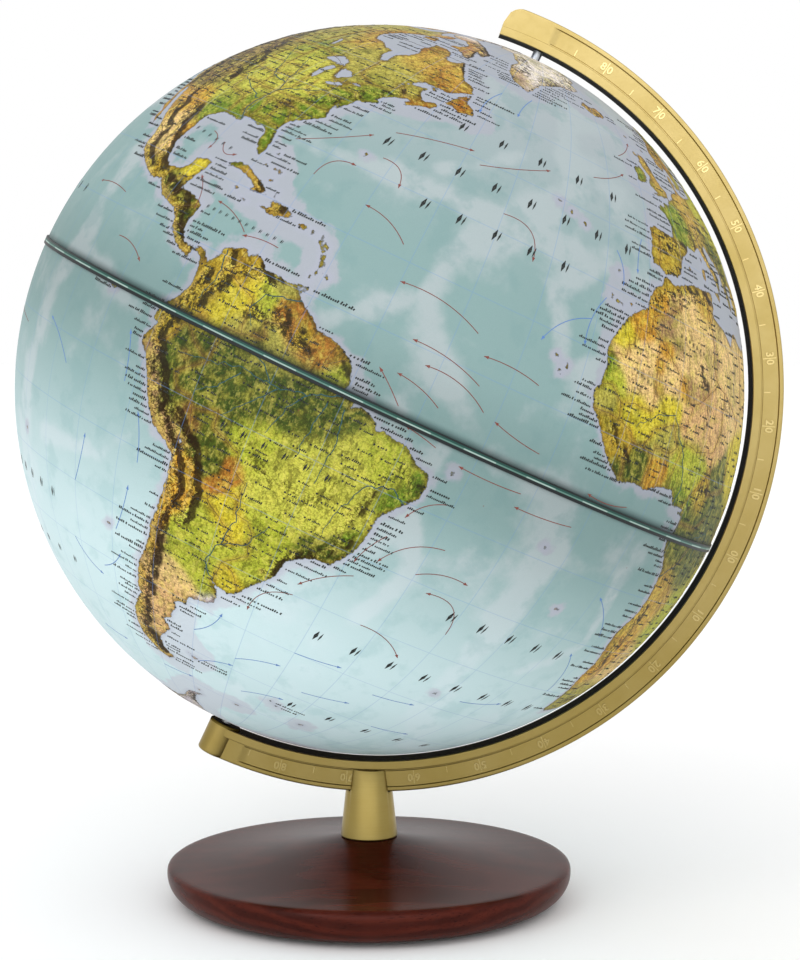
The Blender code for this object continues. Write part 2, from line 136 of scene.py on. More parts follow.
# Base and neck
BASE_LOW, BASE_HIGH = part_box("base")
NECK_LOW, NECK_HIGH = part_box("neck")
BASE_R = BASE_HIGH.x
CREASE_Z = BASE_LOW.z + 14.2 * MM
SIDE_R = 11 * MM
SEAT_R = 12.2 * MM
FLARE_POWER = 1.7
BOLT_HOLE_R = 2.8 * MM
RECESS_R = 9 * MM
RECESS_DEPTH = 9.3 * MM
FLARE_STEPS, SIDE_STEPS = 40, 24
NECK_FOOT_R = NECK_HIGH.x
NECK_TOP_R = 8.65 * MM
NECK_HOLLOW_R, NECK_HOLLOW_DEPTH = 7.2 * MM, 11.6 * MM
NECK_TOP = CENTRE.z - FLANGE_OUTER_R + 1 * MM
FELT_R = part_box("base_felt_pad")[1].x
FIT = 0.3 * MM
FILLET_STEPS = 5

# Camera: its distance and rise from the ball's centre, where it turns, and its lens in millimetres
CAMERA_DISTANCE = 0.95
CAMERA_RISE, CAMERA_YAW, CAMERA_PITCH = math.radians(2.4), math.radians(0.50), math.radians(4.6)
CAMERA_LENS = 85.8


def srgb(red, green, blue):
    """A colour as it looks, 0 to 255, as the shader wants it."""
    return tuple((channel / 255) ** 2.2 for channel in (red, green, blue)) + (1,)


# ---------------------------------------------------------------- geography
# Each outline runs along the coast. Longitudes over 180 pass the date line.

AMERICAS = [
    (-168, 65.6), (-164, 66.6), (-162, 66.2), (-163.5, 67.1), (-166.5, 68.3), (-163, 69.5),
    (-157, 71.3), (-150, 70.5), (-143, 70.1), (-136, 69), (-130, 70), (-127.5, 70.4), (-124, 69.5),
    (-115, 68.2), (-109, 67.9), (-102, 67.8), (-98, 68), (-95.5, 68.6), (-94.5, 71.9), (-92, 70.3),
    (-90, 69), (-87.5, 68), (-85, 69.2), (-82, 69.6), (-81.5, 67.2), (-85, 66.3), (-87, 65.2),
    (-90, 64), (-93.5, 62.3), (-94.5, 60.5), (-94.8, 58.8), (-92.5, 57.1), (-88, 56.5), (-85, 55.3),
    (-82.3, 55.1), (-82.2, 52.9), (-80.5, 51.3), (-79, 51.5), (-79.5, 54.2), (-77, 55.7),
    (-76.5, 57.5), (-78.5, 59.2), (-77.5, 60.6), (-78, 62.4), (-73.7, 62.4), (-70, 61.2),
    (-69.6, 59.2), (-68.2, 58.6), (-66, 58.8), (-64.5, 60.3), (-62, 57.5), (-60, 55), (-57, 54),
    (-55.7, 52.3), (-58.5, 51.3), (-60.2, 50.2), (-66.5, 50.2), (-69, 48.5), (-71, 46.9),
    (-68.5, 48.4), (-64.5, 49.2), (-65.2, 47.8), (-64.8, 46.8), (-63.2, 45.9), (-61, 46.9),
    (-60.1, 46), (-61.2, 45.2), (-63.5, 44.6), (-65.7, 43.5), (-66.1, 44.3), (-64.3, 45.4),
    (-67, 44.9), (-69, 44.1), (-70.5, 43.3), (-70.8, 42.4), (-70, 41.8), (-71.3, 41.5), (-72, 41),
    (-74, 40.5), (-74.3, 39.4), (-75.3, 38.3), (-76, 37), (-76.3, 39.2), (-76.5, 37.2), (-75.6, 35.3),
    (-77.5, 34.2), (-79.2, 33.2), (-81, 32), (-81.4, 30.5), (-80.5, 28.3), (-80.1, 26.8),
    (-80.4, 25.2), (-81.6, 25.9), (-82.7, 27.7), (-82.8, 29.1), (-84.2, 30), (-85.4, 29.7),
    (-87.5, 30.3), (-89.4, 30.3), (-89.2, 29.1), (-91, 29.3), (-93.8, 29.7), (-95.2, 29),
    (-97.2, 27.6), (-97.4, 25.3), (-97.8, 22.3), (-96.3, 19.3), (-94.5, 18.2), (-92, 18.6),
    (-90.7, 19.6), (-90.3, 21.1), (-88, 21.6), (-86.9, 21.4), (-87.5, 19.6), (-88.2, 18.3),
    (-88.8, 16), (-86, 15.9), (-83.2, 15), (-83.6, 12.5), (-83.5, 10.9), (-82.2, 9.1), (-80.5, 9.1),
    (-79.5, 9.6), (-78, 9.3), (-76.9, 8), (-75.6, 9.5), (-75.5, 10.7), (-74.2, 11.3), (-72.2, 12.1),
    (-71.4, 11.5), (-71.9, 10.2), (-71.2, 11.2), (-70.1, 12.1), (-69, 11.5), (-68, 10.5),
    (-66, 10.6), (-64.3, 10.2), (-62.3, 10.7), (-62.5, 10.1), (-60.8, 8.5), (-58.6, 7.3),
    (-57.2, 6), (-55, 5.9), (-52.5, 5), (-51.2, 4.2), (-50.2, 1.8), (-50.3, 0.4), (-51.7, -1),
    (-50, -0.2), (-48.5, -0.3), (-48.8, -1.6), (-47.5, -0.7), (-46, -1.1), (-44.6, -2), (-44.5, -3),
    (-43.4, -2.4), (-41.5, -2.9), (-39.9, -2.9), (-38.5, -3.8), (-36.9, -4.9), (-35.3, -5.2),
    (-34.8, -7), (-35, -8.8), (-36.5, -10.5), (-37.8, -12.3), (-38.8, -13.2), (-39, -15),
    (-39.2, -17.5), (-39.8, -19.6), (-41, -21.8), (-42, -23), (-44.5, -23.1), (-46.5, -24.2),
    (-48.3, -25.5), (-48.6, -27.5), (-49, -28.7), (-50.3, -30.2), (-52.2, -32.2), (-53.5, -34),
    (-55, -34.9), (-57, -34.5), (-58.4, -34), (-57.2, -35.4), (-56.7, -36.6), (-57.6, -38.1),
    (-59.5, -38.7), (-62.2, -38.9), (-62.3, -40.6), (-65, -40.9), (-64.4, -42.4), (-65.2, -43.5),
    (-65.6, -45), (-67.5, -46), (-65.8, -47.6), (-67.8, -49.8), (-69, -51), (-68.4, -52.4),
    (-68.3, -53.2), (-66.5, -54.3), (-65.2, -54.7), (-67.3, -55.8), (-70, -55.2), (-72.5, -53.8),
    (-74.5, -52.5), (-75.4, -50), (-75.5, -47.5), (-74.3, -45), (-73, -43), (-73.8, -41.8),
    (-73.5, -39.5), (-73.4, -37.3), (-72.5, -35.5), (-71.6, -33), (-71.5, -30), (-70.8, -27.3),
    (-70.4, -24), (-70.1, -21), (-70.3, -18.3), (-72, -17), (-74.8, -15.6), (-76.3, -13.8),
    (-77.2, -12), (-78.6, -9.2), (-79.8, -7), (-81.2, -5.9), (-81.3, -4.5), (-80.3, -3.4),
    (-79.9, -2.4), (-80.9, -2.1), (-80.8, -0.9), (-80, 0.6), (-78.9, 1.5), (-77.4, 3.9),
    (-77.5, 6), (-77.9, 7.3), (-78.4, 8.5), (-79.6, 8.9), (-80.4, 8.2), (-80.2, 7.4), (-81.7, 7.9),
    (-83, 8.3), (-83.7, 8.7), (-84.9, 9.9), (-85.8, 10), (-85.8, 11.1), (-87.6, 13), (-89.5, 13.4),
    (-91.8, 14), (-94, 16.1), (-96.5, 15.7), (-99.8, 16.8), (-102.2, 17.9), (-104.5, 19.2),
    (-105.6, 20.5), (-105.4, 21.8), (-107, 24), (-109, 25.7), (-110.8, 27.7), (-112.5, 29.8),
    (-113.2, 31.2), (-114.8, 31.8), (-114.5, 30), (-112.8, 28.2), (-111.3, 26), (-110.3, 24.3),
    (-109.5, 23.1), (-112.1, 24.8), (-112.3, 26.2), (-114.5, 27.2), (-114.2, 28.3), (-115.8, 30.2),
    (-117.1, 32.5), (-118.5, 34), (-120.6, 34.6), (-122, 36.7), (-122.5, 37.8), (-123.8, 39.3),
    (-124.3, 40.4), (-124.2, 43), (-124, 46.2), (-124.7, 48.4), (-122.5, 47.6), (-122.8, 49),
    (-125.5, 50.5), (-127.5, 51.5), (-130, 54.3), (-132, 56), (-134.5, 58.2), (-140, 59.8),
    (-144.5, 60.1), (-148.5, 60.2), (-151.8, 59.3), (-151.5, 60.9), (-153.5, 59.3), (-156.5, 57.2),
    (-160, 55.7), (-164, 54.7), (-160.5, 56), (-157.5, 58.6), (-162, 58.8), (-164.8, 60.6),
    (-166, 61.8), (-164.8, 63), (-161, 64.4), (-165.5, 64.6),
]
OLD_WORLD = [
    (-5.6, 35.9), (-2.9, 35.2), (-1, 35.8), (3, 36.9), (7, 37), (10, 37.3), (11.1, 37), (10.5, 36),
    (11, 35.2), (10.1, 34), (11.1, 33.3), (15.2, 32.3), (19, 30.3), (20.1, 32.3), (22, 32.9),
    (25.2, 31.6), (29, 30.9), (31, 31.5), (32.4, 31.2), (34.3, 31.3), (35, 32.8), (35.9, 34.8),
    (36, 36.6), (34.5, 36.7), (32.5, 36.1), (30.6, 36.7), (29, 36.4), (27.4, 37), (26.4, 38.4),
    (26.1, 39.5), (27, 40.5), (24, 40.8), (22.8, 40.4), (23, 39), (24, 38), (23.1, 36.5), (21.7, 36.9),
    (21.2, 38.3), (19.5, 40.2), (19.4, 41.9), (17, 43.2), (15.2, 44.3), (13.8, 45.1), (13.5, 45.7),
    (12.4, 45.2), (12.5, 44.1), (14, 42.4), (16, 41.8), (18.4, 40.1), (17, 40.5), (16.6, 39),
    (16, 38), (15.7, 38.5), (14.2, 40.8), (12.3, 41.8), (10.4, 43.4), (8.8, 44.4), (6.5, 43.1),
    (3.8, 43.4), (3.1, 42.2), (0.8, 40.8), (-0.2, 39.2), (-0.7, 37.8), (-2.1, 36.8), (-4.4, 36.7),
    (-5.4, 36.1), (-6.3, 36.6), (-7.4, 37.2), (-8.9, 37), (-9.4, 38.8), (-8.8, 41), (-9.2, 43.1),
    (-7.5, 43.7), (-3.8, 43.5), (-1.7, 43.4), (-1.2, 45.6), (-2.5, 47.3), (-4.6, 48.1), (-3.2, 48.8),
    (-1.6, 48.7), (-1.8, 49.7), (0.2, 49.6), (1.6, 50.8), (3.5, 51.5), (4.7, 53), (7, 53.5),
    (8.6, 53.9), (8.2, 57), (10.6, 57.7), (10.3, 56.3), (9.8, 55), (11, 54), (14.3, 54), (18.5, 54.8),
    (21, 55.2), (21, 57), (23.9, 57.1), (23.5, 59.2), (28, 59.5), (30, 59.9), (25, 60.2),
    (22.3, 60.3), (21.4, 61.5), (21.5, 63), (25.2, 65), (24, 65.8), (21.8, 65), (20.5, 63.8),
    (17.5, 62), (17.2, 60.7), (18.8, 59.9), (16.8, 58.5), (16.4, 56.5), (14.3, 55.5), (12.9, 55.5),
    (12.2, 57), (11.2, 58.9), (10.5, 59.4), (8, 58.1), (5.6, 58.8), (5, 61.5), (8, 63.5), (11.5, 65),
    (14, 67.5), (18.5, 69.8), (25.5, 71), (31, 70.3), (41, 67.5), (40, 66.4), (33, 66.7), (37.5, 64),
    (40.3, 64.6), (44, 66.2), (46, 68), (54, 68.5), (60.5, 69.6), (67, 68.5), (67.5, 71),
    (72.8, 72.8), (72.5, 68.5), (76, 72), (81, 73.5), (87, 75), (98, 76.2), (104.3, 77.7), (112, 76),
    (107, 73.5), (113.5, 73.6), (123, 73), (129, 72), (131, 71), (140, 72.5), (152, 70.9),
    (161, 69.5), (170, 69.8), (180, 68.8), (190.2, 66), (186, 65.5), (182, 64.5), (177.5, 64.5),
    (179.5, 62.4), (171, 60), (165, 59.9), (162.5, 58), (162.5, 56), (160, 53.2), (156.8, 51),
    (155.7, 55), (156.5, 58), (163.5, 62), (157, 61.7), (154, 59.5), (143, 59.4), (136, 54.8),
    (141, 53.2), (140, 48), (135.5, 44), (131.8, 43.2), (129.5, 41), (127.5, 39.5), (129.4, 37),
    (129, 35.2), (126.5, 34.5), (126.6, 37.4), (124.5, 40), (121.2, 39), (121.8, 40.8), (118.2, 39.1),
    (118.9, 37.5), (122.4, 37.1), (119.3, 35), (121.8, 32), (121.8, 29.5), (119.7, 26), (117, 23.7),
    (114, 22.4), (110.5, 21.2), (108.2, 21.6), (106.5, 20), (106, 18.5), (108.8, 15.3), (109.3, 12),
    (106.8, 10.4), (104.8, 8.7), (102.3, 12.2), (100.1, 13.4), (99.3, 10.5), (100.5, 7.2),
    (103.4, 4), (104.1, 1.4), (101.3, 2.8), (100.4, 5.5), (98.5, 8.2), (98.7, 11.5), (97.7, 15.8),
    (94.4, 16), (94.3, 18.5), (92.2, 20.9), (91.5, 22.7), (88.5, 21.7), (86.8, 20.6), (82.3, 16.7),
    (80.2, 15), (79.9, 10.4), (77.5, 8.1), (76.3, 10), (74.8, 13.2), (73, 17.5), (72.7, 21),
    (70.4, 20.9), (69, 22.3), (66.7, 25), (61.6, 25.2), (57.3, 25.8), (56.8, 27.1), (54.5, 26.6),
    (51.5, 27.9), (50, 30.1), (48, 30), (48.2, 28.5), (50.2, 26.5), (51.6, 24.3), (54.3, 24.3),
    (56.3, 26.2), (56.6, 24.5), (59.8, 22.5), (57.8, 19), (55.2, 17.3), (52, 15.6), (45, 12.8),
    (43.3, 12.7), (42.8, 15.5), (40.8, 19.3), (39, 22), (37.2, 25), (35, 28.1), (34.8, 29.5),
    (34.3, 27.8), (32.6, 29.9), (33.8, 27.2), (35.6, 24), (37.2, 21), (37.4, 18.8), (39.5, 15.5),
    (42.8, 12.6), (43.2, 11.5), (45, 10.5), (51.2, 11.8), (49.8, 8), (48, 4.5), (45.5, 2), (42, -1),
    (40.2, -2.8), (39.2, -5), (39.5, -7), (40.5, -10.5), (40.7, -15), (37, -17.8), (34.8, -19.8),
    (35.5, -23.9), (32.8, -25.8), (32.4, -28.5), (30.8, -30.8), (28, -33), (25.7, -34), (20, -34.8),
    (18.4, -34.2), (18, -32.8), (16.5, -28.7), (15, -26.2), (14.5, -22.8), (12.5, -18.7),
    (11.8, -16.5), (13.5, -12.5), (13.3, -9), (12.2, -6), (11.8, -4.7), (9.6, -2.4), (8.8, -0.8),
    (9.6, 1), (9.8, 3), (8.9, 4.5), (7, 4.4), (6, 4.3), (4.5, 6.3), (1.2, 6.1), (-2, 4.8),
    (-4.5, 5.2), (-7.6, 4.4), (-9.5, 5.5), (-11.4, 6.9), (-13.2, 8.8), (-14.8, 10.9), (-16.7, 12.4),
    (-17.4, 14.7), (-16.5, 16.2), (-16.3, 19), (-17, 21), (-16, 23.8), (-14.5, 26.2), (-12.9, 27.9),
    (-10.2, 29.4), (-9.7, 31.4), (-8.5, 33.3), (-6.8, 34.1), (-6, 35.7),
]
ANTARCTICA = [
    (-180, -78), (-158, -77.5), (-150, -76.5), (-135, -74.5), (-115, -74.2), (-101, -73.5),
    (-85, -73.2), (-75, -72.5), (-67.5, -69), (-63, -64.8), (-57, -63.3), (-60, -65), (-62, -68.5),
    (-61, -73), (-62, -76.5), (-45, -78), (-35, -78), (-26, -75.8), (-12, -71.8), (0, -70),
    (15, -69.5), (33, -69), (40, -69.5), (50, -67), (58, -67.3), (72, -69.5), (80, -67.9),
    (90, -66.7), (105, -66.2), (115, -66.8), (130, -66.2), (142, -67), (155, -69), (165, -71),
    (170.5, -72), (164, -78), (180, -78), (180, -90), (-180, -90),
]
AUSTRALIA = [
    (142.5, -10.8), (143.6, -14), (145.4, -15), (146.2, -18.9), (149.5, -22), (153.2, -25),
    (153.4, -29), (151.5, -33), (150, -37.2), (146.4, -39), (143.5, -38.8), (140, -37.5),
    (138.2, -35), (137.7, -32.7), (135.5, -34.8), (131.2, -31.5), (126, -32.3), (123.5, -33.9),
    (118, -35), (115, -34.3), (115.7, -31.8), (113.5, -26.5), (113.8, -22.5), (117, -20.7),
    (121.5, -19), (122.2, -17.2), (125, -15), (128.2, -14.9), (130.8, -12.4), (136.9, -12.3),
    (135.5, -15), (139.3, -17.4), (140.9, -17.3), (141.6, -12.7),
]
GREENLAND = [
    (-73, 78.3), (-68.5, 76.1), (-60, 75.9), (-57, 74), (-54.5, 71.5), (-51.5, 70), (-53.5, 67.5),
    (-52, 64.2), (-49.5, 61.9), (-46, 60.5), (-43.8, 59.9), (-42.5, 61.5), (-40.5, 64.5), (-37, 65.8),
    (-32, 68.1), (-26, 68.8), (-22, 70.3), (-24, 72.5), (-20, 74.5), (-19, 77), (-18, 79.5),
    (-14, 81.5), (-25, 83.2), (-36, 83.5), (-50, 82.3), (-62, 81.2), (-67, 80),
]
ISLANDS = [
    [(-24, 65.5), (-22.5, 66.4), (-20.3, 65.7), (-16.2, 66.5), (-13.6, 65), (-15, 64.2),
     (-18.8, 63.4), (-22.6, 63.9), (-22, 64.5), (-24, 64.9), (-22.2, 65.3)],
    [(-59.3, 47.7), (-57.5, 50.6), (-55.5, 51.6), (-55.8, 49.7), (-53.3, 48.8), (-52.7, 47.3),
     (-54, 47.4), (-55.8, 46.9), (-57.5, 47.6)],
    [(-80.5, 73.7), (-72, 71.5), (-68, 70.2), (-62, 67), (-63.5, 65), (-67, 66.4), (-65, 63),
     (-66, 61.9), (-72, 64.2), (-77, 64.4), (-73.5, 65.5), (-72.5, 67.7), (-77.5, 69.7), (-85, 70),
     (-89.5, 71.3), (-89, 73.6)],
    [(-117, 73), (-105.5, 73.3), (-101.5, 69.8), (-114, 69.2), (-117.3, 70.2), (-118.5, 71.7)],
    [(-125, 71.9), (-123, 74.4), (-117, 73.4)],
    [(-91, 76.4), (-80, 76.2), (-77, 78.5), (-65, 81.5), (-62, 82.6), (-75, 83.1), (-90, 81.9),
     (-87, 79.5)],
    [(-96, 76.8), (-80, 75.7), (-80, 74.6), (-92, 74.7)],
    [(-117, 75.2), (-106, 75), (-105.5, 76), (-116, 76.6)],
    [(-102, 73.5), (-91, 73.9), (-92.5, 72), (-98, 71.4)],
    [(-87, 63.6), (-80.5, 63.8), (-84, 65.9), (-86.5, 64.6)],
    [(-64.4, 49.9), (-61.8, 49.1), (-63.5, 49.2)],
    [(-84.9, 21.9), (-82.5, 23.1), (-80, 23), (-77, 21.8), (-74.2, 20.2), (-77.6, 19.8),
     (-77.3, 20.7), (-78.5, 21.4), (-81.5, 22.1)],
    [(-74.4, 18.4), (-72.6, 18.9), (-73.2, 19.9), (-70, 19.7), (-68.4, 18.6), (-70.5, 18.2),
     (-71.6, 17.7)],
    [(-78.3, 18.4), (-76.3, 18.1), (-77.2, 17.8)],
    [(-67.2, 18.5), (-65.7, 18.4), (-66, 17.9), (-67.1, 17.9)],
    [(-61.8, 10.8), (-61, 10.8), (-61.1, 10.1), (-61.8, 10.1)],
    [(-78.3, 25.1), (-77.8, 24.2), (-78.2, 24.2)],
    [(-77.3, 26.9), (-77, 26.2), (-78, 26.7)],
    [(-61, -51.4), (-57.9, -51.5), (-59.5, -52.3)],
    [(-38, -54), (-36, -54.9), (-37.4, -54.4)],
    [(-128.3, 50.8), (-124.8, 49.5), (-123.5, 48.4), (-126, 49)],
    [(-91.4, 0), (-90.9, -1), (-91.5, -0.7)],
    [(-5.5, 50.1), (-3, 50.7), (1.3, 51.1), (1.7, 52.7), (0.2, 53), (-1.5, 55), (-2, 57.6),
     (-3.1, 58.6), (-5, 58.6), (-6.2, 56.7), (-4.9, 54.8), (-3, 54), (-4.5, 53.3), (-5.2, 51.9),
     (-3, 51.5)],
    [(-9.8, 51.5), (-6.4, 52.2), (-5.6, 54.5), (-7.5, 55.3), (-10, 54.2), (-9.3, 53)],
    [(12.5, 38), (15.6, 38.2), (15.1, 36.7)],
    [(8.3, 40.9), (9.7, 40.9), (9.5, 39.2), (8.5, 39)],
    [(8.7, 42.5), (9.5, 42.9), (9.3, 41.5)],
    [(23.6, 35.5), (26.2, 35.2), (24.7, 34.9)],
    [(32.4, 35), (34.4, 35.6), (33, 34.7)],
    [(10.9, 56), (12.5, 56), (12.2, 55.1), (11.2, 55.2)],
    [(11, 79.6), (20, 80.3), (24, 78.5), (16.8, 76.6)],
    [(51.5, 71.5), (55.5, 70.7), (57.5, 72), (68.5, 76.8), (60, 76.2), (55.5, 74.5)],
    [(95, 79), (104, 79.5), (99, 80.5)],
    [(138, 75), (150, 75), (143, 73.5)],
    [(79.8, 8), (80, 9.7), (81.8, 7.3), (80.5, 6)],
    [(95.3, 5.6), (100.5, 2), (103.7, -1), (106, -3), (105.8, -5.8), (102.5, -4), (100.3, -1),
     (98.5, 1.8)],
    [(105.2, -6.8), (108.5, -6.7), (112, -6.8), (114.4, -7.7), (114.3, -8.6), (108, -7.8)],
    [(109.5, 1.9), (113.2, 3.3), (116.8, 7), (119.2, 5.2), (117.8, 3.8), (118.9, 1), (117.5, 0.5),
     (116.3, -3.8), (114.5, -4), (111.8, -3.4), (110, -1.6), (109, 0.4)],
    [(119.8, 0.5), (120.8, 1.3), (125, 1.6), (124.3, 0.4), (120.6, 0.3), (121, -1), (123.3, -0.9),
     (121.8, -2), (122.8, -4.5), (121.2, -4.4), (120.8, -2.9), (120.4, -5.5), (119.5, -5.4)],
    [(116, -8.6), (119, -8.6), (122.8, -8.4), (120, -9), (116.3, -9)],
    [(123.5, -10.3), (127, -8.4), (125, -9.3)],
    [(127.5, 1.8), (128.5, 0.5), (127.8, -0.7)],
    [(128, -3.2), (130.8, -3.5), (129, -3.4)],
    [(131, -0.8), (134, -0.8), (135, -3.3), (138, -1.7), (141, -2.6), (145.8, -5.5), (147.8, -6),
     (147, -8), (150.8, -10.4), (147, -9.5), (144, -7.7), (141, -9.1), (138, -8.3), (138, -5.5),
     (134, -4), (132.8, -2.8)],
    [(148.5, -5.7), (152, -4), (150, -6.3)],
    [(155, -5.5), (161, -9.6), (160, -9.9)],
    [(164, -20), (167, -22.3), (165.5, -21.7)],
    [(177.3, -17.6), (178.6, -17.6), (178, -18.2)],
    [(120.3, 16), (120.7, 18.5), (122.2, 18.5), (121.5, 15.5), (124, 12.7), (120.6, 13.9)],
    [(122, 7), (124.5, 8.6), (126.3, 9), (126.5, 7), (125.4, 5.7), (124, 6.8)],
    [(122, 11.8), (123.3, 11), (125.5, 11.2), (123, 9.2)],
    [(117.3, 8.5), (119.5, 11.2), (118.5, 9.3)],
    [(120.2, 23), (121.8, 25.2), (120.9, 22)],
    [(108.7, 19.2), (110.8, 20), (109.6, 18.2)],
    [(130, 33.2), (132.5, 35.4), (136, 35.8), (137, 37.2), (139.5, 38.5), (140, 40.8), (141.4, 41.3),
     (142, 39.5), (140.8, 35.7), (136.9, 34.5), (135.8, 33.5), (134, 34.4), (132, 33.4),
     (131.4, 31.5), (130.3, 31.3)],
    [(140.2, 41.5), (141.8, 45.4), (145.5, 43.3), (143.2, 42)],
    [(142, 46), (141.8, 50), (142.8, 54.3), (143.4, 50), (143.5, 46.8)],
    [(49.3, -12.1), (50.4, -15.8), (47.8, -23), (45.2, -25.5), (43.5, -23.2), (44.4, -19.8),
     (44.3, -16.2)],
    [(172.7, -34.5), (175.5, -36.5), (178.5, -37.7), (176.9, -39.6), (175, -41.5), (173.8, -39.3),
     (174.8, -37.5)],
    [(172.8, -40.6), (174.2, -41.6), (172.8, -43.8), (170.6, -45.9), (168.5, -46.6), (166.6, -45.8),
     (170, -43.2)],
    [(144.7, -40.8), (148.2, -40.9), (147.9, -43), (146.3, -43.6)],
    [(-156, 20.2), (-155, 19.5), (-155.7, 19)],
]
# Islets too small for an outline: (longitude, latitude)
ISLETS = [
    (-59.5, 13.2), (-61, 14), (-61, 14.7), (-61.4, 15.4), (-61.6, 16.2), (-62.2, 16.8), (-61.8, 17.1),
    (-62.8, 17.4), (-63.1, 18.1), (-64.7, 18.1), (-61.2, 13.2), (-61.7, 12.2), (-74.9, 24.1),
    (-76, 24.3), (-75.3, 22.5), (-73.2, 21), (-79.8, 19.4), (-64.8, 32.3), (-28.2, 38.6), (-25.3, 37.7),
    (-31, 39.6), (-17, 32.8), (-15.5, 28), (-16.6, 28.4), (-13.8, 28.8), (-17.9, 28.7), (-23.6, 15.1),
    (-24.8, 17), (-22.9, 16.2), (-5.7, -16), (-14.3, -8), (-12.3, -37.1), (-32.4, -3.8), (6.6, 0.3),
    (8.7, 3.6), (-7, 62), (-1, 60.4), (-6.8, 58.2), (-90.4, -0.7), (-109.4, -27.1), (-26.5, -58),
    (-45.5, -60.6), (-58.5, -62), (-159.5, 22), (-158, 21.4), (55.5, -21.1), (57.6, -20.3), (70, -49.3),
    (3, 39.6), (-80.8, -33.7),
]
LAKES = [
    [(28, 41.8), (28.6, 43.8), (30.7, 46.2), (33, 46), (33.6, 44.5), (36.5, 45.2), (39, 47.1),
     (38, 44.4), (41.5, 42.2), (38.5, 41), (35, 42), (31.5, 41.2)],
    [(47, 45), (49, 46.5), (53, 46.8), (51.3, 44.5), (53.3, 42), (53.8, 39), (52.2, 36.8),
     (49.3, 37.5), (49.5, 40.4), (47.7, 42.8)],
    [(-92, 46.7), (-89.5, 48), (-88, 48.8), (-85, 48), (-84.6, 46.6), (-87, 46.6), (-90, 46.8)],
    [(-87.8, 42.3), (-87, 41.7), (-86.3, 42.8), (-86.4, 44), (-85.2, 45.8), (-87, 45.7), (-87.9, 44)],
    [(-84.3, 45.9), (-81.3, 46), (-80, 44.7), (-81.7, 44), (-82.4, 43.1), (-83.4, 44), (-83.4, 45.2)],
    [(-83.3, 41.8), (-81, 42.7), (-79, 42.9), (-80.2, 42), (-82.5, 41.4)],
    [(-79.7, 43.4), (-77, 44), (-76.3, 43.6), (-78, 43.3)],
    [(-97.2, 50.5), (-99, 53.5), (-97.8, 53.6), (-96.4, 51)],
    [(-116, 61.2), (-110, 62.5), (-112, 61.3)],
    [(-124, 66.3), (-119, 67), (-119, 65.6), (-122.5, 65.2)],
    [(-70, -15.3), (-68.7, -16.4), (-69.6, -16.4)],
    [(-67.6, -18.4), (-66.9, -19.1), (-67.5, -19)],
    [(31.8, -0.5), (34, 0.2), (33.8, -2), (32, -2.6)],
    [(29.2, -3.5), (31, -8.6), (30.4, -6)],
    [(34.2, -9.7), (35, -14.2), (34.3, -12)],
    [(103.8, 51.6), (106, 52.5), (109.8, 55.6), (109.3, 54.3), (105.5, 51.5)],
    [(31, 60.2), (32.9, 61), (32, 59.9)],
    [(74, 45), (79, 46.8), (75, 46.8)],
]
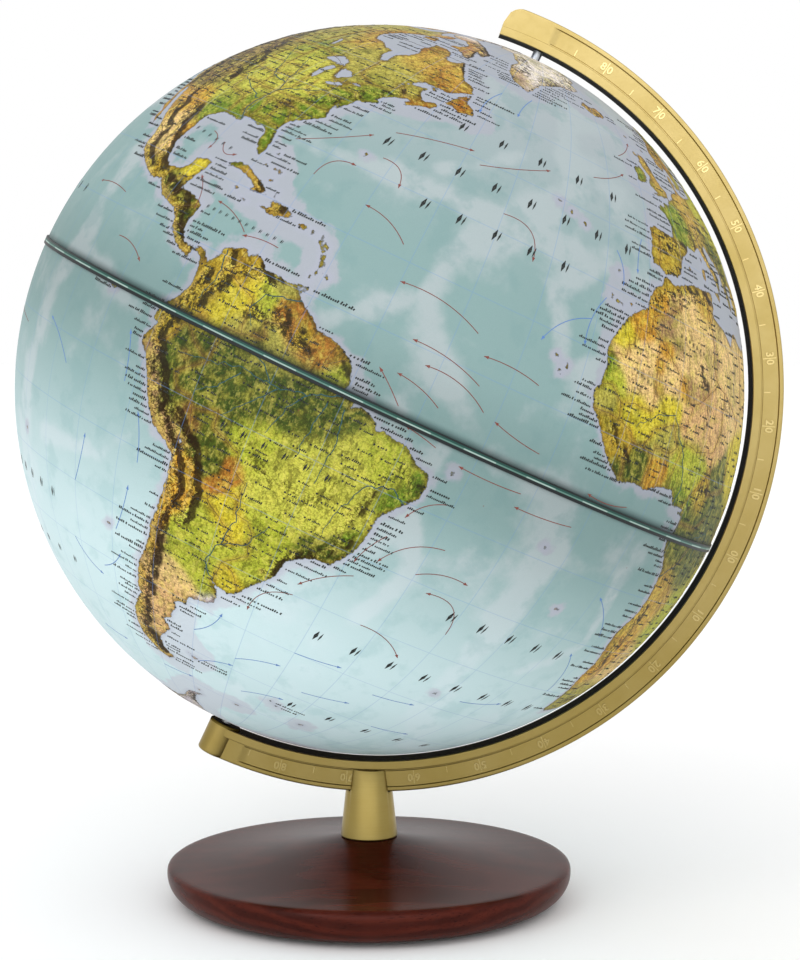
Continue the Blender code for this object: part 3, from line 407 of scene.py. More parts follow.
# Mountains: (height 0 to 1, half width in degrees, crest)
MOUNTAINS = [
    (1, 1.1, [(-78.5, -0.5), (-78.8, -5), (-77.3, -9), (-75, -12.5), (-72, -15.3), (-69.8, -17.5),
              (-68.6, -21), (-68.4, -25), (-69.7, -29), (-70, -33), (-71, -37), (-71.8, -41),
              (-72.4, -45), (-73.3, -49), (-72.8, -51.5), (-70.5, -54.3)]),
    (0.9, 0.8, [(-77.7, -6), (-75.4, -10.5), (-72, -13.2), (-68.5, -15.3), (-66, -17.8), (-65.2, -22),
                (-66.3, -27)]),
    (0.75, 0.6, [(-78.5, -0.5), (-76.6, 3), (-76, 5.5), (-75.6, 7.4)]),
    (0.85, 0.6, [(-77.8, 0), (-75.2, 3.5), (-73.6, 5.8), (-72.6, 7.6), (-70.3, 9), (-68.5, 10.2),
                 (-65.5, 10.2)]),
    (0.75, 0.6, [(-73.2, 7.5), (-72.9, 9.5), (-73.6, 10.8)]),
    (0.55, 1.6, [(-67, 4), (-63.5, 5), (-60.7, 4.6), (-58.5, 3)]),
    (0.3, 1, [(-58.5, 2.5), (-54.5, 2.6), (-52.5, 2.6)]),
    (0.55, 0.9, [(-50, -28.5), (-49.2, -26), (-47, -24), (-44.5, -22.4), (-42.3, -20.3), (-41, -18)]),
    (0.45, 0.9, [(-43.5, -20), (-42.5, -16), (-41.6, -12.5), (-41, -10)]),
    (0.35, 1.1, [(-36.5, -9), (-37.5, -7), (-39, -6), (-40.5, -8)]),
    (0.32, 1.4, [(-60.5, -12.5), (-56, -14.5), (-52, -15), (-48, -15.5), (-46.8, -12.5)]),
    (0.24, 1.6, [(-56, -9), (-51.5, -7.5), (-47.5, -7.2)]),
    (0.25, 1.3, [(-52, -19), (-49, -20.5), (-46.5, -19)]),
    (0.6, 1.4, [(-160, 68), (-150, 68.2), (-142, 69)]),
    (0.9, 1.6, [(-155, 61), (-150, 63), (-143, 62), (-138, 60), (-131, 56.5), (-125.5, 51.5),
                (-121.5, 48.5), (-121.8, 44), (-120.5, 40), (-118.5, 36.3), (-116.3, 33.5)]),
    (0.95, 2, [(-135, 65), (-127, 60), (-122, 55), (-117, 51.5), (-113.5, 47), (-110.5, 44),
               (-107, 40), (-105.8, 36.5)]),
    (0.6, 3, [(-117, 41), (-114, 38.5), (-110.5, 36), (-109, 33)]),
    (0.9, 1.3, [(-109, 31), (-107, 27), (-105, 23.8), (-104, 21.2)]),
    (0.85, 1.1, [(-102.5, 28.5), (-100.5, 25), (-99, 21.5), (-97.5, 18.8)]),
    (0.9, 1, [(-104, 20), (-101.5, 18.6), (-98.5, 17.3), (-96, 16.8), (-92.6, 15.8), (-90, 15)]),
    (0.7, 0.8, [(-90, 15), (-87, 14.2), (-85.5, 12.6), (-84, 10), (-82.6, 8.8), (-80.8, 8.5)]),
    (0.5, 0.6, [(-77.2, 20), (-75.4, 20.1)]),
    (0.6, 0.6, [(-73.8, 18.4), (-72, 18.6), (-70.6, 19)]),
    (0.45, 1, [(-86.5, 34), (-82.5, 36.3), (-79.5, 38.6), (-76, 41), (-72.5, 43.8), (-69, 45.8)]),
    (0.5, 1.2, [(-63.8, 58), (-65, 66), (-68, 68.5), (-75, 71)]),
    (0.6, 2.2, [(-66, 82), (-78, 80), (-84, 77.5)]),
    (0.75, 1.6, [(-50, 66), (-51, 69.5), (-55, 74)]),
    (0.75, 1.6, [(-38, 66.5), (-30, 69), (-25, 73), (-22, 78)]),
    (0.5, 1, [(-21, 65.5), (-18, 64.3), (-15.5, 65)]),
    (0.8, 0.9, [(-9, 30.8), (-5.5, 32.4), (-2, 34), (3, 35.2), (8, 35.6)]),
    (0.5, 0.9, [(-12.5, 11), (-10, 9.3), (-8, 8), (-7.6, 7.3)]),
    (0.5, 1.1, [(5, 24), (7, 22.5)]),
    (0.6, 1.2, [(16.5, 21), (18.5, 20.5)]),
    (0.35, 0.9, [(8.3, 17), (8.8, 19.5)]),
    (0.6, 0.9, [(9.2, 4.3), (10.8, 6.2), (14, 8)]),
    (0.3, 1, [(8, 9.5), (10, 10)]),
    (0.85, 2, [(36.5, 7), (38.5, 10), (38.8, 13.5)]),
    (0.6, 1.4, [(36.5, 1), (35.5, -4), (34, -9), (35, -14)]),
    (0.5, 1.1, [(29.5, 1), (29, -4)]),
    (0.6, 1.2, [(21.5, -32), (27, -30.8), (29.3, -29), (30.5, -25)]),
    (0.5, 1.2, [(14.5, -11), (15, -15), (15.5, -20), (16.8, -25)]),
    (0.5, 1, [(46.8, -15), (46.8, -19), (46.5, -23)]),
    (0.8, 0.6, [(-1.5, 43), (2.2, 42.5)]),
    (0.55, 1, [(-6.5, 40.3), (-3.5, 41), (-1, 41)]),
    (0.6, 0.7, [(-6.5, 42.9), (-3.5, 43)]),
    (0.6, 0.6, [(-5, 37), (-2, 38)]),
    (0.95, 0.9, [(6.8, 44.5), (8, 46.3), (11.5, 47), (14.5, 47.2)]),
    (0.5, 0.6, [(8.8, 44.5), (12.5, 43), (15.8, 40.5)]),
    (0.7, 0.8, [(15.5, 44.7), (19.5, 43), (21, 40.5), (22, 38.5)]),
    (0.6, 0.8, [(19, 49.2), (24.5, 48), (25.5, 45.6), (23, 45.3)]),
    (0.75, 1.3, [(7.5, 60), (9, 62), (14, 65.5), (19, 68.5)]),
    (0.45, 0.7, [(-4.5, 57.2), (-3.5, 56.8)]),
    (0.5, 1.2, [(58, 51), (59.5, 57), (60.5, 62), (66, 67.5)]),
    (0.95, 0.8, [(40, 43.7), (44, 42.7), (47.5, 41.3)]),
    (0.75, 2, [(30, 38), (36, 38.5), (43, 39)]),
    (0.85, 1.5, [(45, 36.5), (49, 33), (53, 29.5), (58, 28)]),
    (0.8, 1, [(49, 37), (53, 36), (58, 37.5), (66, 35), (71, 36.5)]),
    (1, 1.3, [(72, 36), (75, 35), (79, 31.5), (84, 28.8), (89, 28), (94, 28.6), (97, 28)]),
    (0.8, 4, [(80, 34), (87, 33), (93, 32)]),
    (0.95, 1.5, [(75, 37.5), (82, 36), (90, 36.5), (98, 38)]),
    (0.85, 1.6, [(68, 39.5), (75, 41.5), (82, 42.8), (91, 43)]),
    (0.8, 2, [(85, 50), (90, 50), (97, 49), (103, 51.5)]),
    (0.6, 2, [(110, 54), (118, 56.5), (128, 56), (134, 58)]),
    (0.65, 1.8, [(128, 68), (131, 64), (138, 62.5)]),
    (0.65, 2, [(137, 68.5), (146, 65.5), (155, 63), (170, 66)]),
    (0.7, 1, [(157.5, 53), (160, 57)]),
    (0.8, 2.2, [(100, 32), (103, 29), (101, 25)]),
    (0.5, 1.2, [(101, 20), (104.5, 18), (107.8, 15)]),
    (0.5, 0.9, [(93.5, 25), (94.2, 21)]),
    (0.5, 0.8, [(73.8, 19), (75, 14), (77, 10)]),
    (0.6, 1, [(40.5, 21), (43, 17.5), (45, 14)]),
    (0.7, 0.9, [(132, 34.8), (136.5, 35.8), (138.5, 36.5), (140.7, 39.5)]),
    (0.8, 0.8, [(167.8, -45), (170.5, -43.5), (172.5, -42)]),
    (0.5, 1.2, [(145, -37), (149, -35), (151.5, -30.5), (148, -23), (145.2, -17.5)]),
    (0.35, 1.4, [(129, -24.5), (135, -23.5)]),
    (0.9, 0.9, [(135, -3.8), (140, -4.8), (145, -6), (148, -9)]),
    (0.7, 0.7, [(97, 4), (100.5, -1), (104, -5)]),
    (0.6, 0.7, [(106.5, -7), (113, -7.9)]),
    (0.55, 1.2, [(110.5, 1), (114.5, 2), (116.5, 5.5)]),
    (0.8, 2.5, [(-85, -77), (-78, -72), (-65, -67)]),
    (0.7, 2.5, [(160, -73), (165, -79), (-150, -85), (-90, -83)]),
]

# Printed land colours and where they lie: (longitude, latitude, reach in degrees)
LAND_COLOURS = {
    "straw": (srgb(184, 184, 72), [
        (-98, 40, 7), (-90, 42, 5), (-50, -15, 4.5), (-46, -9, 3.6), (-43, -14, 2.6), (-53, -12, 3),
        (40, 55, 9), (35, -6, 5), (143, -24, 5), (24, 52, 5)]),
    "lime": (srgb(164, 172, 54), [
        (-58, -11.5, 2.6), (-52, 1.8, 1.6), (-51, -23, 3), (-52.5, -28.5, 2.2), (-63, -31, 3),
        (-63.5, -26.5, 2.2), (-42, -6, 2.6), (-14, 17.3, 1.6), (7.5, 9.5, 2.6), (68, 48, 8), (28, -13, 5),
        (22, 53, 4), (-99, 46, 4), (-66, 7.5, 1.5)]),
    "leaf": (srgb(98, 126, 34), [
        (-91.5, 31, 3.5), (-84, 32.5, 3.6), (-81.7, 28, 2.6), (-78.5, 35.5, 3), (-76, 39.5, 2.5),
        (-72, 43, 3), (-96.5, 30, 2.6), (-100, 49.5, 2.5), (-93, 49, 2), (-16.5, 18.5, 1.5),
        (6, 6, 1.8), (10.5, 5, 1.4), (-35.5, -7.5, 1.2), (-8, 53, 2.5), (2, 47.5, 3.5), (26, 63, 5),
        (70, 62, 12), (80, 14, 4), (113, 31, 6), (126, 46, 5), (149, -28, 4), (118, -33, 3),
        (-38, -11.5, 1.6), (-40, -18.5, 1.6)]),
    "moss": (srgb(60, 76, 26), [
        (-70, -3, 3.5), (-66, -5, 3.5), (-61, -4, 3.5), (-56, -4, 3.5), (-50.5, -3, 3), (-72, -8, 2.6),
        (-66.5, -10, 2), (-65.5, -14, 2), (-64, -16.5, 1.6), (-86, 14, 2), (-91, 16.3, 1.5),
        (-84, 11, 1.6), (-8, 7, 1.6), (-6, 7.5, 1.6), (22, 0, 6), (12, 4, 2), (102, 16, 5),
        (110, -2, 12), (122, 13, 4), (141, -5, 5), (138, 36, 4), (172, -42, 4), (20, 44, 3.5),
        (-46.5, -22.5, 2), (-42.5, -21, 1.6), (146, -37, 4)]),
    "olive": (srgb(160, 152, 72), [
        (-106, 54, 6), (-86, 50.5, 5), (-74, 50, 5), (-110, 62, 7), (-62, 0.3, 2.4), (-58, 0.5, 1.6),
        (-64.3, 9.6, 1.4), (-14.5, 14.3, 1.3), (-1.5, 12.4, 1.8), (100, 62, 12), (24, -30, 4),
        (-67, 46.5, 1.6), (-68, 2, 1.6)]),
    "olive_gold": (srgb(170, 140, 40), [
        (-96.5, 17.6, 2), (-100.5, 18.8, 2), (-4, 40, 3.5), (-74.5, 4.5, 2.2), (-75.5, 8, 1.5),
        (-79, -1.5, 1.6), (-12, 10, 2), (-9, 8.5, 1.3), (13, 6.5, 2), (38, 1, 4), (-70, 8.5, 1.5),
        (-87.5, 13, 1.3), (132, -14, 4)]),
    "yellow": (srgb(204, 186, 50), [
        (-70, 4.5, 2.4), (-72, 1.5, 2), (-68.5, 7, 1.6), (-60, -22, 1.8), (-57.5, -24.5, 1.4),
        (-89.3, 20, 2), (-8.5, 14.8, 1.8), (-4, 14.2, 1.6), (-2, 17, 1.6), (-13.5, 24, 1.4),
        (-11, 13.5, 1.2), (-56, -32.8, 1.6), (78, 22, 5), (30, 13, 4), (115, 40, 4), (-58.8, 4.5, 1.2)]),
    "amber": (srgb(196, 142, 46), [
        (-105.5, 30, 2.6), (-108, 27, 2), (-112, 28.5, 2), (-98.3, 23.5, 1.6), (-70.5, -23, 1.4),
        (-70.7, -28, 1.3), (-71.3, -33, 1.2), (-68, -20.5, 1.6), (-67.5, -24, 1.6), (-11, 26.5, 1.5),
        (-7.5, 31, 1.6), (-9.5, 28.7, 1.2), (-1, 7.8, 1.3), (17, -21, 4),
        (122, -25, 6), (-4, 24.5, 1.2), (1, 21, 1.2), (-5.3, 19, 1), (-5.4, 22, 1)]),
    "sienna": (srgb(164, 106, 42), [
        (-59.5, 4.8, 1.6), (-60, 7.3, 1.2), (-56, 4, 1.5), (-54, 3.3, 1.4), (-57, 1.8, 1.4),
        (-62.5, 7, 1.2), (-65, 53, 3), (-94, 60, 4), (-64.5, 45.2, 1.6), (-56.5, 48.5, 2.4),
        (-80, 60, 3), (-20, 65, 3), (125, 63, 10), (-62, -19.5, 1.2), (-60.7, -16.5, 1.2),
        (-72, 68, 4), (-110, 71, 4), (12, 62, 3), (-73, 1, 1.2)]),
    "ochre": (srgb(190, 150, 66), [
        (-62, 55, 3), (-72, 55, 4), (-90, 55, 3), (-80.5, 8.5, 1.3), (-73.5, -40, 1.3),
        (-74, -46, 1.5), (-72, -52, 1.5), (-69, -54, 1.6), (8, 34, 2), (12, 43, 2.5), (16, -12, 5),
        (34, 39, 4), (11, 51, 4), (47, -19, 4), (-2, 54, 3), (39, 9, 3), (-77.5, 20.8, 2),
        (-71, 18.7, 1.4)]),
    "tan": (srgb(228, 190, 128), [
        (-103.5, 24.5, 2.4), (-101.5, 22, 2), (-100, 20.5, 1.6), (-10.5, 20.5, 2.6), (-7, 18.5, 2),
        (-2.5, 21.5, 2.4), (3, 27, 4), (0, 30, 2.5), (8, 29, 3), (17, 27, 5), (29, 26, 5),
        (46, 24, 7), (24, -23, 4), (103, 46, 7), (60, 40, 5), (46, 6, 4), (-66.5, -36.5, 2.2)]),
    "peach": (srgb(214, 170, 116), [
        (-67.5, -40, 2.2), (-69, -43.5, 2.4), (-70, -48, 2.2), (9, 18.5, 3.2), (13, 17, 2.5),
        (55, 32, 6), (88, 33, 6), (133, -25, 6), (-51, 65, 2)]),
    "rose_brown": (srgb(150, 116, 84), [
        (-79.3, -7.5, 1.3), (-77.3, -11, 1.3), (-75, -14.6, 1.3), (-71.8, -16.6, 1.2),
        (-69.5, -31, 1), (-69.7, -35, 1.1), (-5, 28.5, 1.6), (-3, 31, 1.4), (-1.5, 26, 1.2),
        (2.5, 21.5, 1.3), (7.5, 21, 1.6), (11.3, 27, 1.3), (-35, 67, 2.5), (-48, 63.5, 2.5)]),
    "umber": (srgb(112, 82, 44), [
        (-112, 45, 5), (-119, 46, 4), (-117, 40, 4), (-108, 38, 3.5), (-124, 58, 6), (-150, 64, 8),
        (-73.3, -4.8, 1), (-70.5, -11.5, 1), (-68, -13, 1), (-84.5, 34.8, 1.4), (-64, 1.6, 1),
        (150, 65, 10)]),
    "ice": (srgb(238, 228, 222), [(-42, 73, 9), (-40, 66, 4), (-47, 78, 8)]),
    "lilac": (srgb(212, 200, 216), [
        (0, -80, 20), (90, -78, 20), (180, -80, 20), (-90, -80, 16), (-60, -70, 6), (-78, 80, 5),
        (60, -70, 8), (130, -70, 8), (-120, -76, 8)]),
}
# Broad shelves: (longitude, latitude, reach in degrees, extra width in millimetres)
SHELVES = [
    (-63, -46, 5, 9), (-60, -51, 4, 8), (-54, -36, 3, 4), (-51, 46, 5, 9), (-62, 43, 4, 5),
    (-77, 24, 4, 9), (-84, 20, 4, 5), (-88, 27, 6, 9), (-70, 17, 6, 6), (-73, 39, 4, 4),
    (-62, 14, 3, 5), (-48, 2, 3, 5), (-46, -25, 3, 3), (3, 57, 6, 14), (-8, 50, 5, 8), (-95, 72, 14, 20),
    (-84, 58, 8, 20), (-60, 63, 8, 5), (4, 40, 6, 14), (18, 35, 7, 14), (30, 34, 5, 10), (-16, 30, 4, 4),
    (-19, 22, 4, 3), (2, 3, 4, 2), (110, 3, 12, 20), (110, 74, 20, 14), (50, 72, 10, 14), (135, -10, 8, 12),
    (123, 32, 6, 9), (52, 27, 5, 10), (38, 21, 6, 10), (-168, 60, 8, 14), (0, -72, 20, 5),
    (90, -68, 20, 5), (180, -74, 20, 6), (-90, -74, 20, 5), (-58, -62, 6, 6), (145, 55, 8, 8),
    (20, 60, 6, 12), (-20, 66, 5, 5), (-38, 62, 6, 4), (11, 3, 3, 3),
]
# Ocean ridges, paler than the basins beside them: (half width in degrees, crest)
RIDGES = [
    (2.6, [(-18, 66), (-30, 57), (-31, 50), (-29, 42), (-36, 34), (-44, 26), (-46, 17), (-41, 9),
           (-30, 1), (-14, -1), (-13, -10), (-13, -20), (-13, -32), (-10, -42), (0, -52), (15, -54),
           (35, -46), (55, -34), (68, -24), (67, -8), (58, 10)]),
    (1.8, [(-35, -1), (-38, -8), (-33, -14), (-31, -20), (-34, -29)]),
    (1.6, [(2, -8), (6, -20), (-2, -28)]),
    (2, [(-57, 8), (-52, 12), (-48, 16)]),
    (1.5, [(-52, 36), (-45, 40), (-40, 45)]),
    (2.4, [(68, -24), (80, -40), (110, -50), (150, -62)]),
    (3, [(-105, 18), (-104, 5), (-108, -15), (-112, -32), (-115, -48), (-135, -57), (-165, -63)]),
    (1.6, [(-84, -2), (-92, 0), (-103, 2)]),
    (1.6, [(-76, -16), (-84, -24), (-100, -26)]),
    (1.8, [(-48, -54), (-40, -60), (-28, -58)]),
    (2, [(-155, 20), (-170, 27), (170, 40)]),
    (2, [(-16, 17), (-23, 16), (-28, 25), (-20, 34)]),
]
BORDERS = [
    [(-72, 12), (-72.5, 8), (-67.5, 6.2), (-67.3, 2.5), (-66.9, 1.2), (-69.5, 1), (-69.9, -4.2),
     (-73, -2.4), (-75.3, -0.1), (-78.8, 1.4)],
    [(-75.3, -0.1), (-76.5, -2.7), (-78.5, -4.8), (-80.3, -3.4)],
    [(-66.9, 1.2), (-63.4, 2.2), (-64.5, 4.1), (-60.7, 5.2), (-60, 8.5)],
    [(-60.7, 5.2), (-59.8, 2), (-56.5, 2), (-54.5, 2.3), (-51.7, 4.1)],
    [(-57.2, 5.9), (-57.5, 3.3), (-56.5, 2)],
    [(-54, 5.8), (-54.5, 2.3)],
    [(-69.9, -4.2), (-73.9, -7.3), (-72.8, -9.5), (-70.5, -9.5), (-69.5, -11), (-65.4, -9.7),
     (-65.3, -12), (-60.5, -13.8), (-60.2, -16.2), (-58, -17.5), (-58.2, -20.2)],
    [(-69.5, -11), (-68.7, -14), (-69.3, -17), (-70.4, -18.3)],
    [(-69.3, -17), (-68.2, -21), (-67.2, -23), (-68.4, -25), (-69.8, -30), (-70, -34),
     (-71.3, -39), (-71.8, -44), (-72.5, -49), (-71.9, -52), (-68.4, -52.3)],
    [(-67.2, -23), (-62.8, -22), (-62.2, -20.5), (-59, -19.3), (-58.2, -20.2), (-57.8, -22.1),
     (-55.8, -22.3), (-54.3, -24), (-54.6, -25.6), (-53.8, -27.2), (-57.6, -30.2), (-58.4, -34)],
    [(-62.8, -22), (-57.7, -25.3), (-58.6, -27.2), (-54.6, -25.6)],
    [(-57.6, -30.2), (-55.5, -30.9), (-53.5, -33.7)],
    [(-123, 49), (-95.2, 49), (-89.5, 48), (-84.5, 46.5), (-82.5, 43), (-79, 43), (-75, 45),
     (-71.3, 45.2), (-69, 47.3), (-67.5, 45.5), (-67, 44.9)],
    [(-117.1, 32.5), (-111, 31.3), (-106.5, 31.6), (-103, 29), (-101, 29.7), (-99.3, 27),
     (-97.2, 25.9)],
    [(-92.2, 14.6), (-91, 17.2), (-89.2, 17.8), (-88.3, 18.4)],
    [(-89.2, 17.8), (-88.8, 15.8), (-90, 13.8)],
    [(-87.5, 13), (-83.3, 15)],
    [(-85.7, 11.1), (-83.7, 10.9)],
    [(-82.9, 8.3), (-82.6, 9.5)],
    [(-77.9, 7.3), (-77.3, 8.6)],
    [(-141, 69.7), (-141, 60.3), (-130, 55.5)],
    [(-110, 60), (-110, 49)],
    [(-101.8, 60), (-101.4, 49)],
    [(-89, 56.8), (-95.2, 52.8), (-95.2, 49)],
    [(-79.5, 51.4), (-79.5, 46.4), (-75, 45)],
    [(-64, 60), (-67, 55), (-63.5, 52), (-57, 51.5)],
    [(-120, 60), (-60, 60)],
    [(-104, 49), (-104, 41), (-102, 41), (-102, 37), (-103, 37), (-103, 32)],
    [(-104, 45.9), (-96.6, 45.9)],
    [(-104, 43), (-96.5, 42.7), (-91.2, 43.5)],
    [(-102, 40), (-95.4, 40), (-91.5, 40.6)],
    [(-109, 37), (-94.6, 37)],
    [(-94.6, 36.5), (-83.6, 36.6), (-76, 36.6)],
    [(-90.3, 35), (-83.5, 35), (-79, 34)],
    [(-100, 36.5), (-100, 34.5), (-94.5, 33.6), (-94, 33), (-93.8, 30)],
    [(-97, 49), (-96.5, 43), (-95.8, 40), (-94.6, 39), (-94.5, 33.5)],
    [(-91.2, 43.5), (-91, 40.5), (-89.2, 37), (-91, 33), (-91.2, 31), (-89.8, 31), (-89.6, 30.3)],
    [(-87.6, 42), (-87.6, 38), (-89.2, 37)],
    [(-84.8, 41.7), (-84.8, 39), (-82.5, 38.4), (-80.5, 40.6), (-80.5, 42)],
    [(-88.2, 35), (-88.4, 30.4)],
    [(-85.5, 35), (-85, 31), (-87.6, 31)],
    [(-85, 31), (-82, 30.6)],
    [(-83.2, 35), (-81, 32.1)],
    [(-80.5, 39.7), (-75.7, 39.8)],
    [(-79.8, 42), (-75.3, 42), (-74.7, 41)],
    [(-2.2, 35), (-1.3, 32.2), (-5, 30), (-8.7, 28.7), (-8.7, 27.3), (-4.8, 25), (1.2, 21.1),
     (3.3, 19), (5.8, 19.4), (12, 23.5), (9.9, 26.2), (9.9, 30), (8.2, 34.7), (8.6, 36.9)],
    [(-17, 20.8), (-13, 21.3), (-13, 23), (-12, 23.4), (-12, 26), (-8.7, 26), (-8.7, 27.3)],
    [(-6.6, 25), (-5.5, 15.5), (-9.5, 15.4), (-12.2, 14.8), (-14.5, 16.6), (-16.5, 16.1)],
    [(-12.2, 14.8), (-11.4, 12.4), (-13.7, 12.7), (-16.7, 12.4)],
    [(-11.4, 12.4), (-8.5, 11.5), (-8, 10.2), (-5.5, 10.4), (-2.8, 9.7), (-3, 5.1)],
    [(-8, 10.2), (-8.3, 7.5), (-7.5, 4.4)],
    [(0, 11.1), (1.2, 6.1)],
    [(-5.5, 10.4), (-4, 13.3), (0, 15), (2.2, 12.4), (0.9, 11), (-2.8, 11), (-2.8, 9.7)],
    [(2.7, 6.4), (2.8, 9), (3.6, 11.7), (2.2, 12.4)],
    [(3.6, 11.7), (4.1, 13.5), (8, 12.9), (13.5, 13.7), (15.5, 16.9), (15, 23), (12, 23.5)],
    [(0, 15), (3.5, 15.4), (4.2, 19.1)],
    [(14, 13), (13.2, 9.6), (10.2, 6.9), (8.6, 4.8)],
    [(25, 31.6), (25, 22), (37, 22)],
    [(24, 20), (22, 13), (23, 9), (15.5, 7.5), (14, 13)],
    [(15, 23), (24, 19.5)],
    [(9.8, 2.3), (16, 2.2), (18.6, 4)],
    [(17.5, 0), (16.5, -3), (13, -5.8), (16.5, -6), (22, -10), (24, -13)],
    [(11.8, -17.3), (23, -17.7), (25, -17.7)],
    [(16.5, -28.6), (20, -28.5), (20, -22), (21, -18)],
    [(29, 4), (30, -1), (29.3, -6), (31, -8.5), (28.5, -11), (34, -10)],
    [(34, -1), (39, -4.5)],
    [(-1.8, 43.4), (3.1, 42.5)],
    [(-8.9, 42), (-6.5, 41.8), (-7, 39), (-7.4, 37.2)],
    [(7.5, 43.8), (6.8, 46), (7.6, 47.6), (8.2, 49), (2.6, 51.1)],
    [(11.2, 59), (12, 63), (18, 68.5), (28, 69.5)],
    [(14.2, 53.9), (15, 51), (19, 49.5), (24, 50.5), (23.5, 54)],
    [(28, 56), (31, 52), (35, 50.5), (39.5, 49), (38.3, 47)],
    [(50, 51), (61, 51), (70, 54.5), (87, 49), (98, 50), (116, 50), (120, 53), (131, 48), (131, 43)],
    [(74, 37), (78, 34), (81, 30), (88, 28), (97, 28)],
    [(61, 35.5), (61, 31), (62, 25.5)],
    [(42, 37), (46, 33), (48, 30)],
    [(44, 17), (52, 19), (55, 22.5)],
    [(129, -15), (129, -31.6)],
    [(138, -16.5), (138, -26), (141, -26), (141, -37.5)],
    [(129, -26), (138, -26)],
    [(141, -29), (153, -28.2)],
    [(141, -34), (147, -36), (150, -37.4)],
]
RIVERS = [
    [(-50.5, -0.6), (-55, -2.3), (-60, -3.2), (-65, -2.9), (-70, -4), (-74, -4.6)],
    [(-60, -3.2), (-62, -1), (-66, 0.3)],
    [(-58.8, -3.4), (-60.5, -5.2), (-63, -7.8), (-65, -10)],
    [(-54.8, -2.5), (-57, -6), (-58, -9.5)],
    [(-51.8, -2), (-52.5, -6), (-53, -11)],
    [(-49.3, -2), (-48.5, -7), (-49, -13)],
    [(-64.5, -3.5), (-67, -6.5), (-70, -8.5)],
    [(-36.5, -10.4), (-39, -9), (-42.5, -10.5), (-44.5, -15), (-45, -19)],
    [(-58.3, -34), (-60.5, -31.5), (-58.8, -27.3), (-54.6, -25.6), (-52.5, -21.5)],
    [(-58.6, -27.2), (-57.6, -23), (-57.8, -17)],
    [(-61, 8.8), (-66, 7.5), (-67.6, 5), (-66, 2.8)],
    [(-74.8, 10.8), (-74, 7), (-75.3, 3)],
    [(-89.3, 29.3), (-91, 32), (-89.5, 37), (-91, 41.5), (-95, 47)],
    [(-90.3, 38.7), (-95, 39.5), (-98, 43), (-104, 47.8)],
    [(-89.2, 37), (-85, 38.5), (-80.5, 40.4)],
    [(-91, 34), (-97, 36), (-102, 38)],
    [(6, 4.5), (6.5, 8), (4, 12), (0, 16.5), (-4, 15.5), (-8, 12.5)],
    [(31, 31), (31, 25), (33, 19), (32.5, 15.5), (31.5, 7), (32, 0)],
    [(12.5, -6), (16, -3.5), (18, 1), (23, 2), (26, -3)],
    [(36, -18.5), (30, -16), (24, -16), (22, -12)],
    [(48, 46), (46, 49), (49, 54), (40, 57)],
    [(29, 45), (20, 45), (19, 48), (10, 48.5)],
    [(72, 66), (69, 61), (75, 58), (82, 54)],
    [(82, 71), (88, 65), (92, 57)],
    [(127, 72), (124, 65), (115, 60)],
    [(121, 31.7), (113, 30), (107, 29.5), (99, 27)],
    [(118.5, 37.5), (110, 35), (108, 40), (103, 36)],
    [(89, 23), (82, 25.5), (78, 30)],
    [(68, 24.5), (71, 31), (76, 34)],
    [(106, 10), (105, 15), (101, 20)],
    [(139, -35), (142, -34), (149, -30)],
]
# Ocean currents: (start, end, sideways bow as a share of the length, negative to the right)
WARM_CURRENTS = [
    ((-77, 30), (-66, 36), 0.02), ((-63, 38), (-49, 41), -0.02), ((-70, 26), (-65, 30), -0.25),
    ((-62, 33), (-57, 29.5), -0.25), ((-47, 39), (-34, 44), 0.02), ((-40, 33), (-33, 28), -0.3),
    ((-52, 22), (-60, 25), 0.1), ((-37, 15), (-50, 17), 0.08), ((-34, 8.5), (-45, 10.5), 0.06),
    ((-26, 12), (-35, 12.5), 0.05), ((-22, 3.5), (-30, 5), -0.03), ((-32, 5.5), (-42, 8), 0.1),
    ((-38, 3.5), (-45, 5.5), 0.06), ((-43, 1.5), (-47.5, 5.2), 0.02), ((-36, -1.5), (-41, -0.5), 0.02),
    ((-22, -2.5), (-32, -2.5), -0.02), ((-12, -4), (-22, -4.5), -0.02), ((-4, 1.6), (-12, 1.2), -0.06),
    ((-31, -8), (-35.5, -12), 0.12), ((-28, -14), (-36, -19.5), 0.14), ((-36.5, -15.5), (-39, -21), 0.06),
    ((-38, -23), (-45, -28), 0.06), ((-45, -30), (-51, -36), 0.2), ((-33, -30), (-24, -33), -0.12),
    ((-20, -26), (-27, -21), 0.3), ((-30, -19), (-22, -17.5), -0.1), ((-84, 14), (-87, 19), 0.12),
    ((-74, 14), (-81, 16.5), 0.08), ((-68, 14), (-74, 13.5), 0.05), ((-88, 25), (-84, 24), 0.3),
    ((-92, 26), (-90, 23), -0.3), ((-24, 47), (-15, 51), 0.05), ((-15, 55), (-8, 60), 0.05),
    ((-95, 6), (-88, 4), -0.1), ((-100, 12), (-110, 12), 0.05), ((-115, -12), (-128, -11), 0.02),
    ((60, -10), (75, -8), 0.05), ((45, -22), (38, -30), 0.1), ((75, 5), (90, 3), 0.05),
    ((140, 12), (128, 16), 0.1), ((155, 33), (142, 36), 0.1), ((-170, 10), (175, 11), 0.05),
    ((150, -12), (158, -22), 0.1), ((-135, 30), (-145, 24), 0.1), ((-158, -20), (-170, -18), 0.05),
]
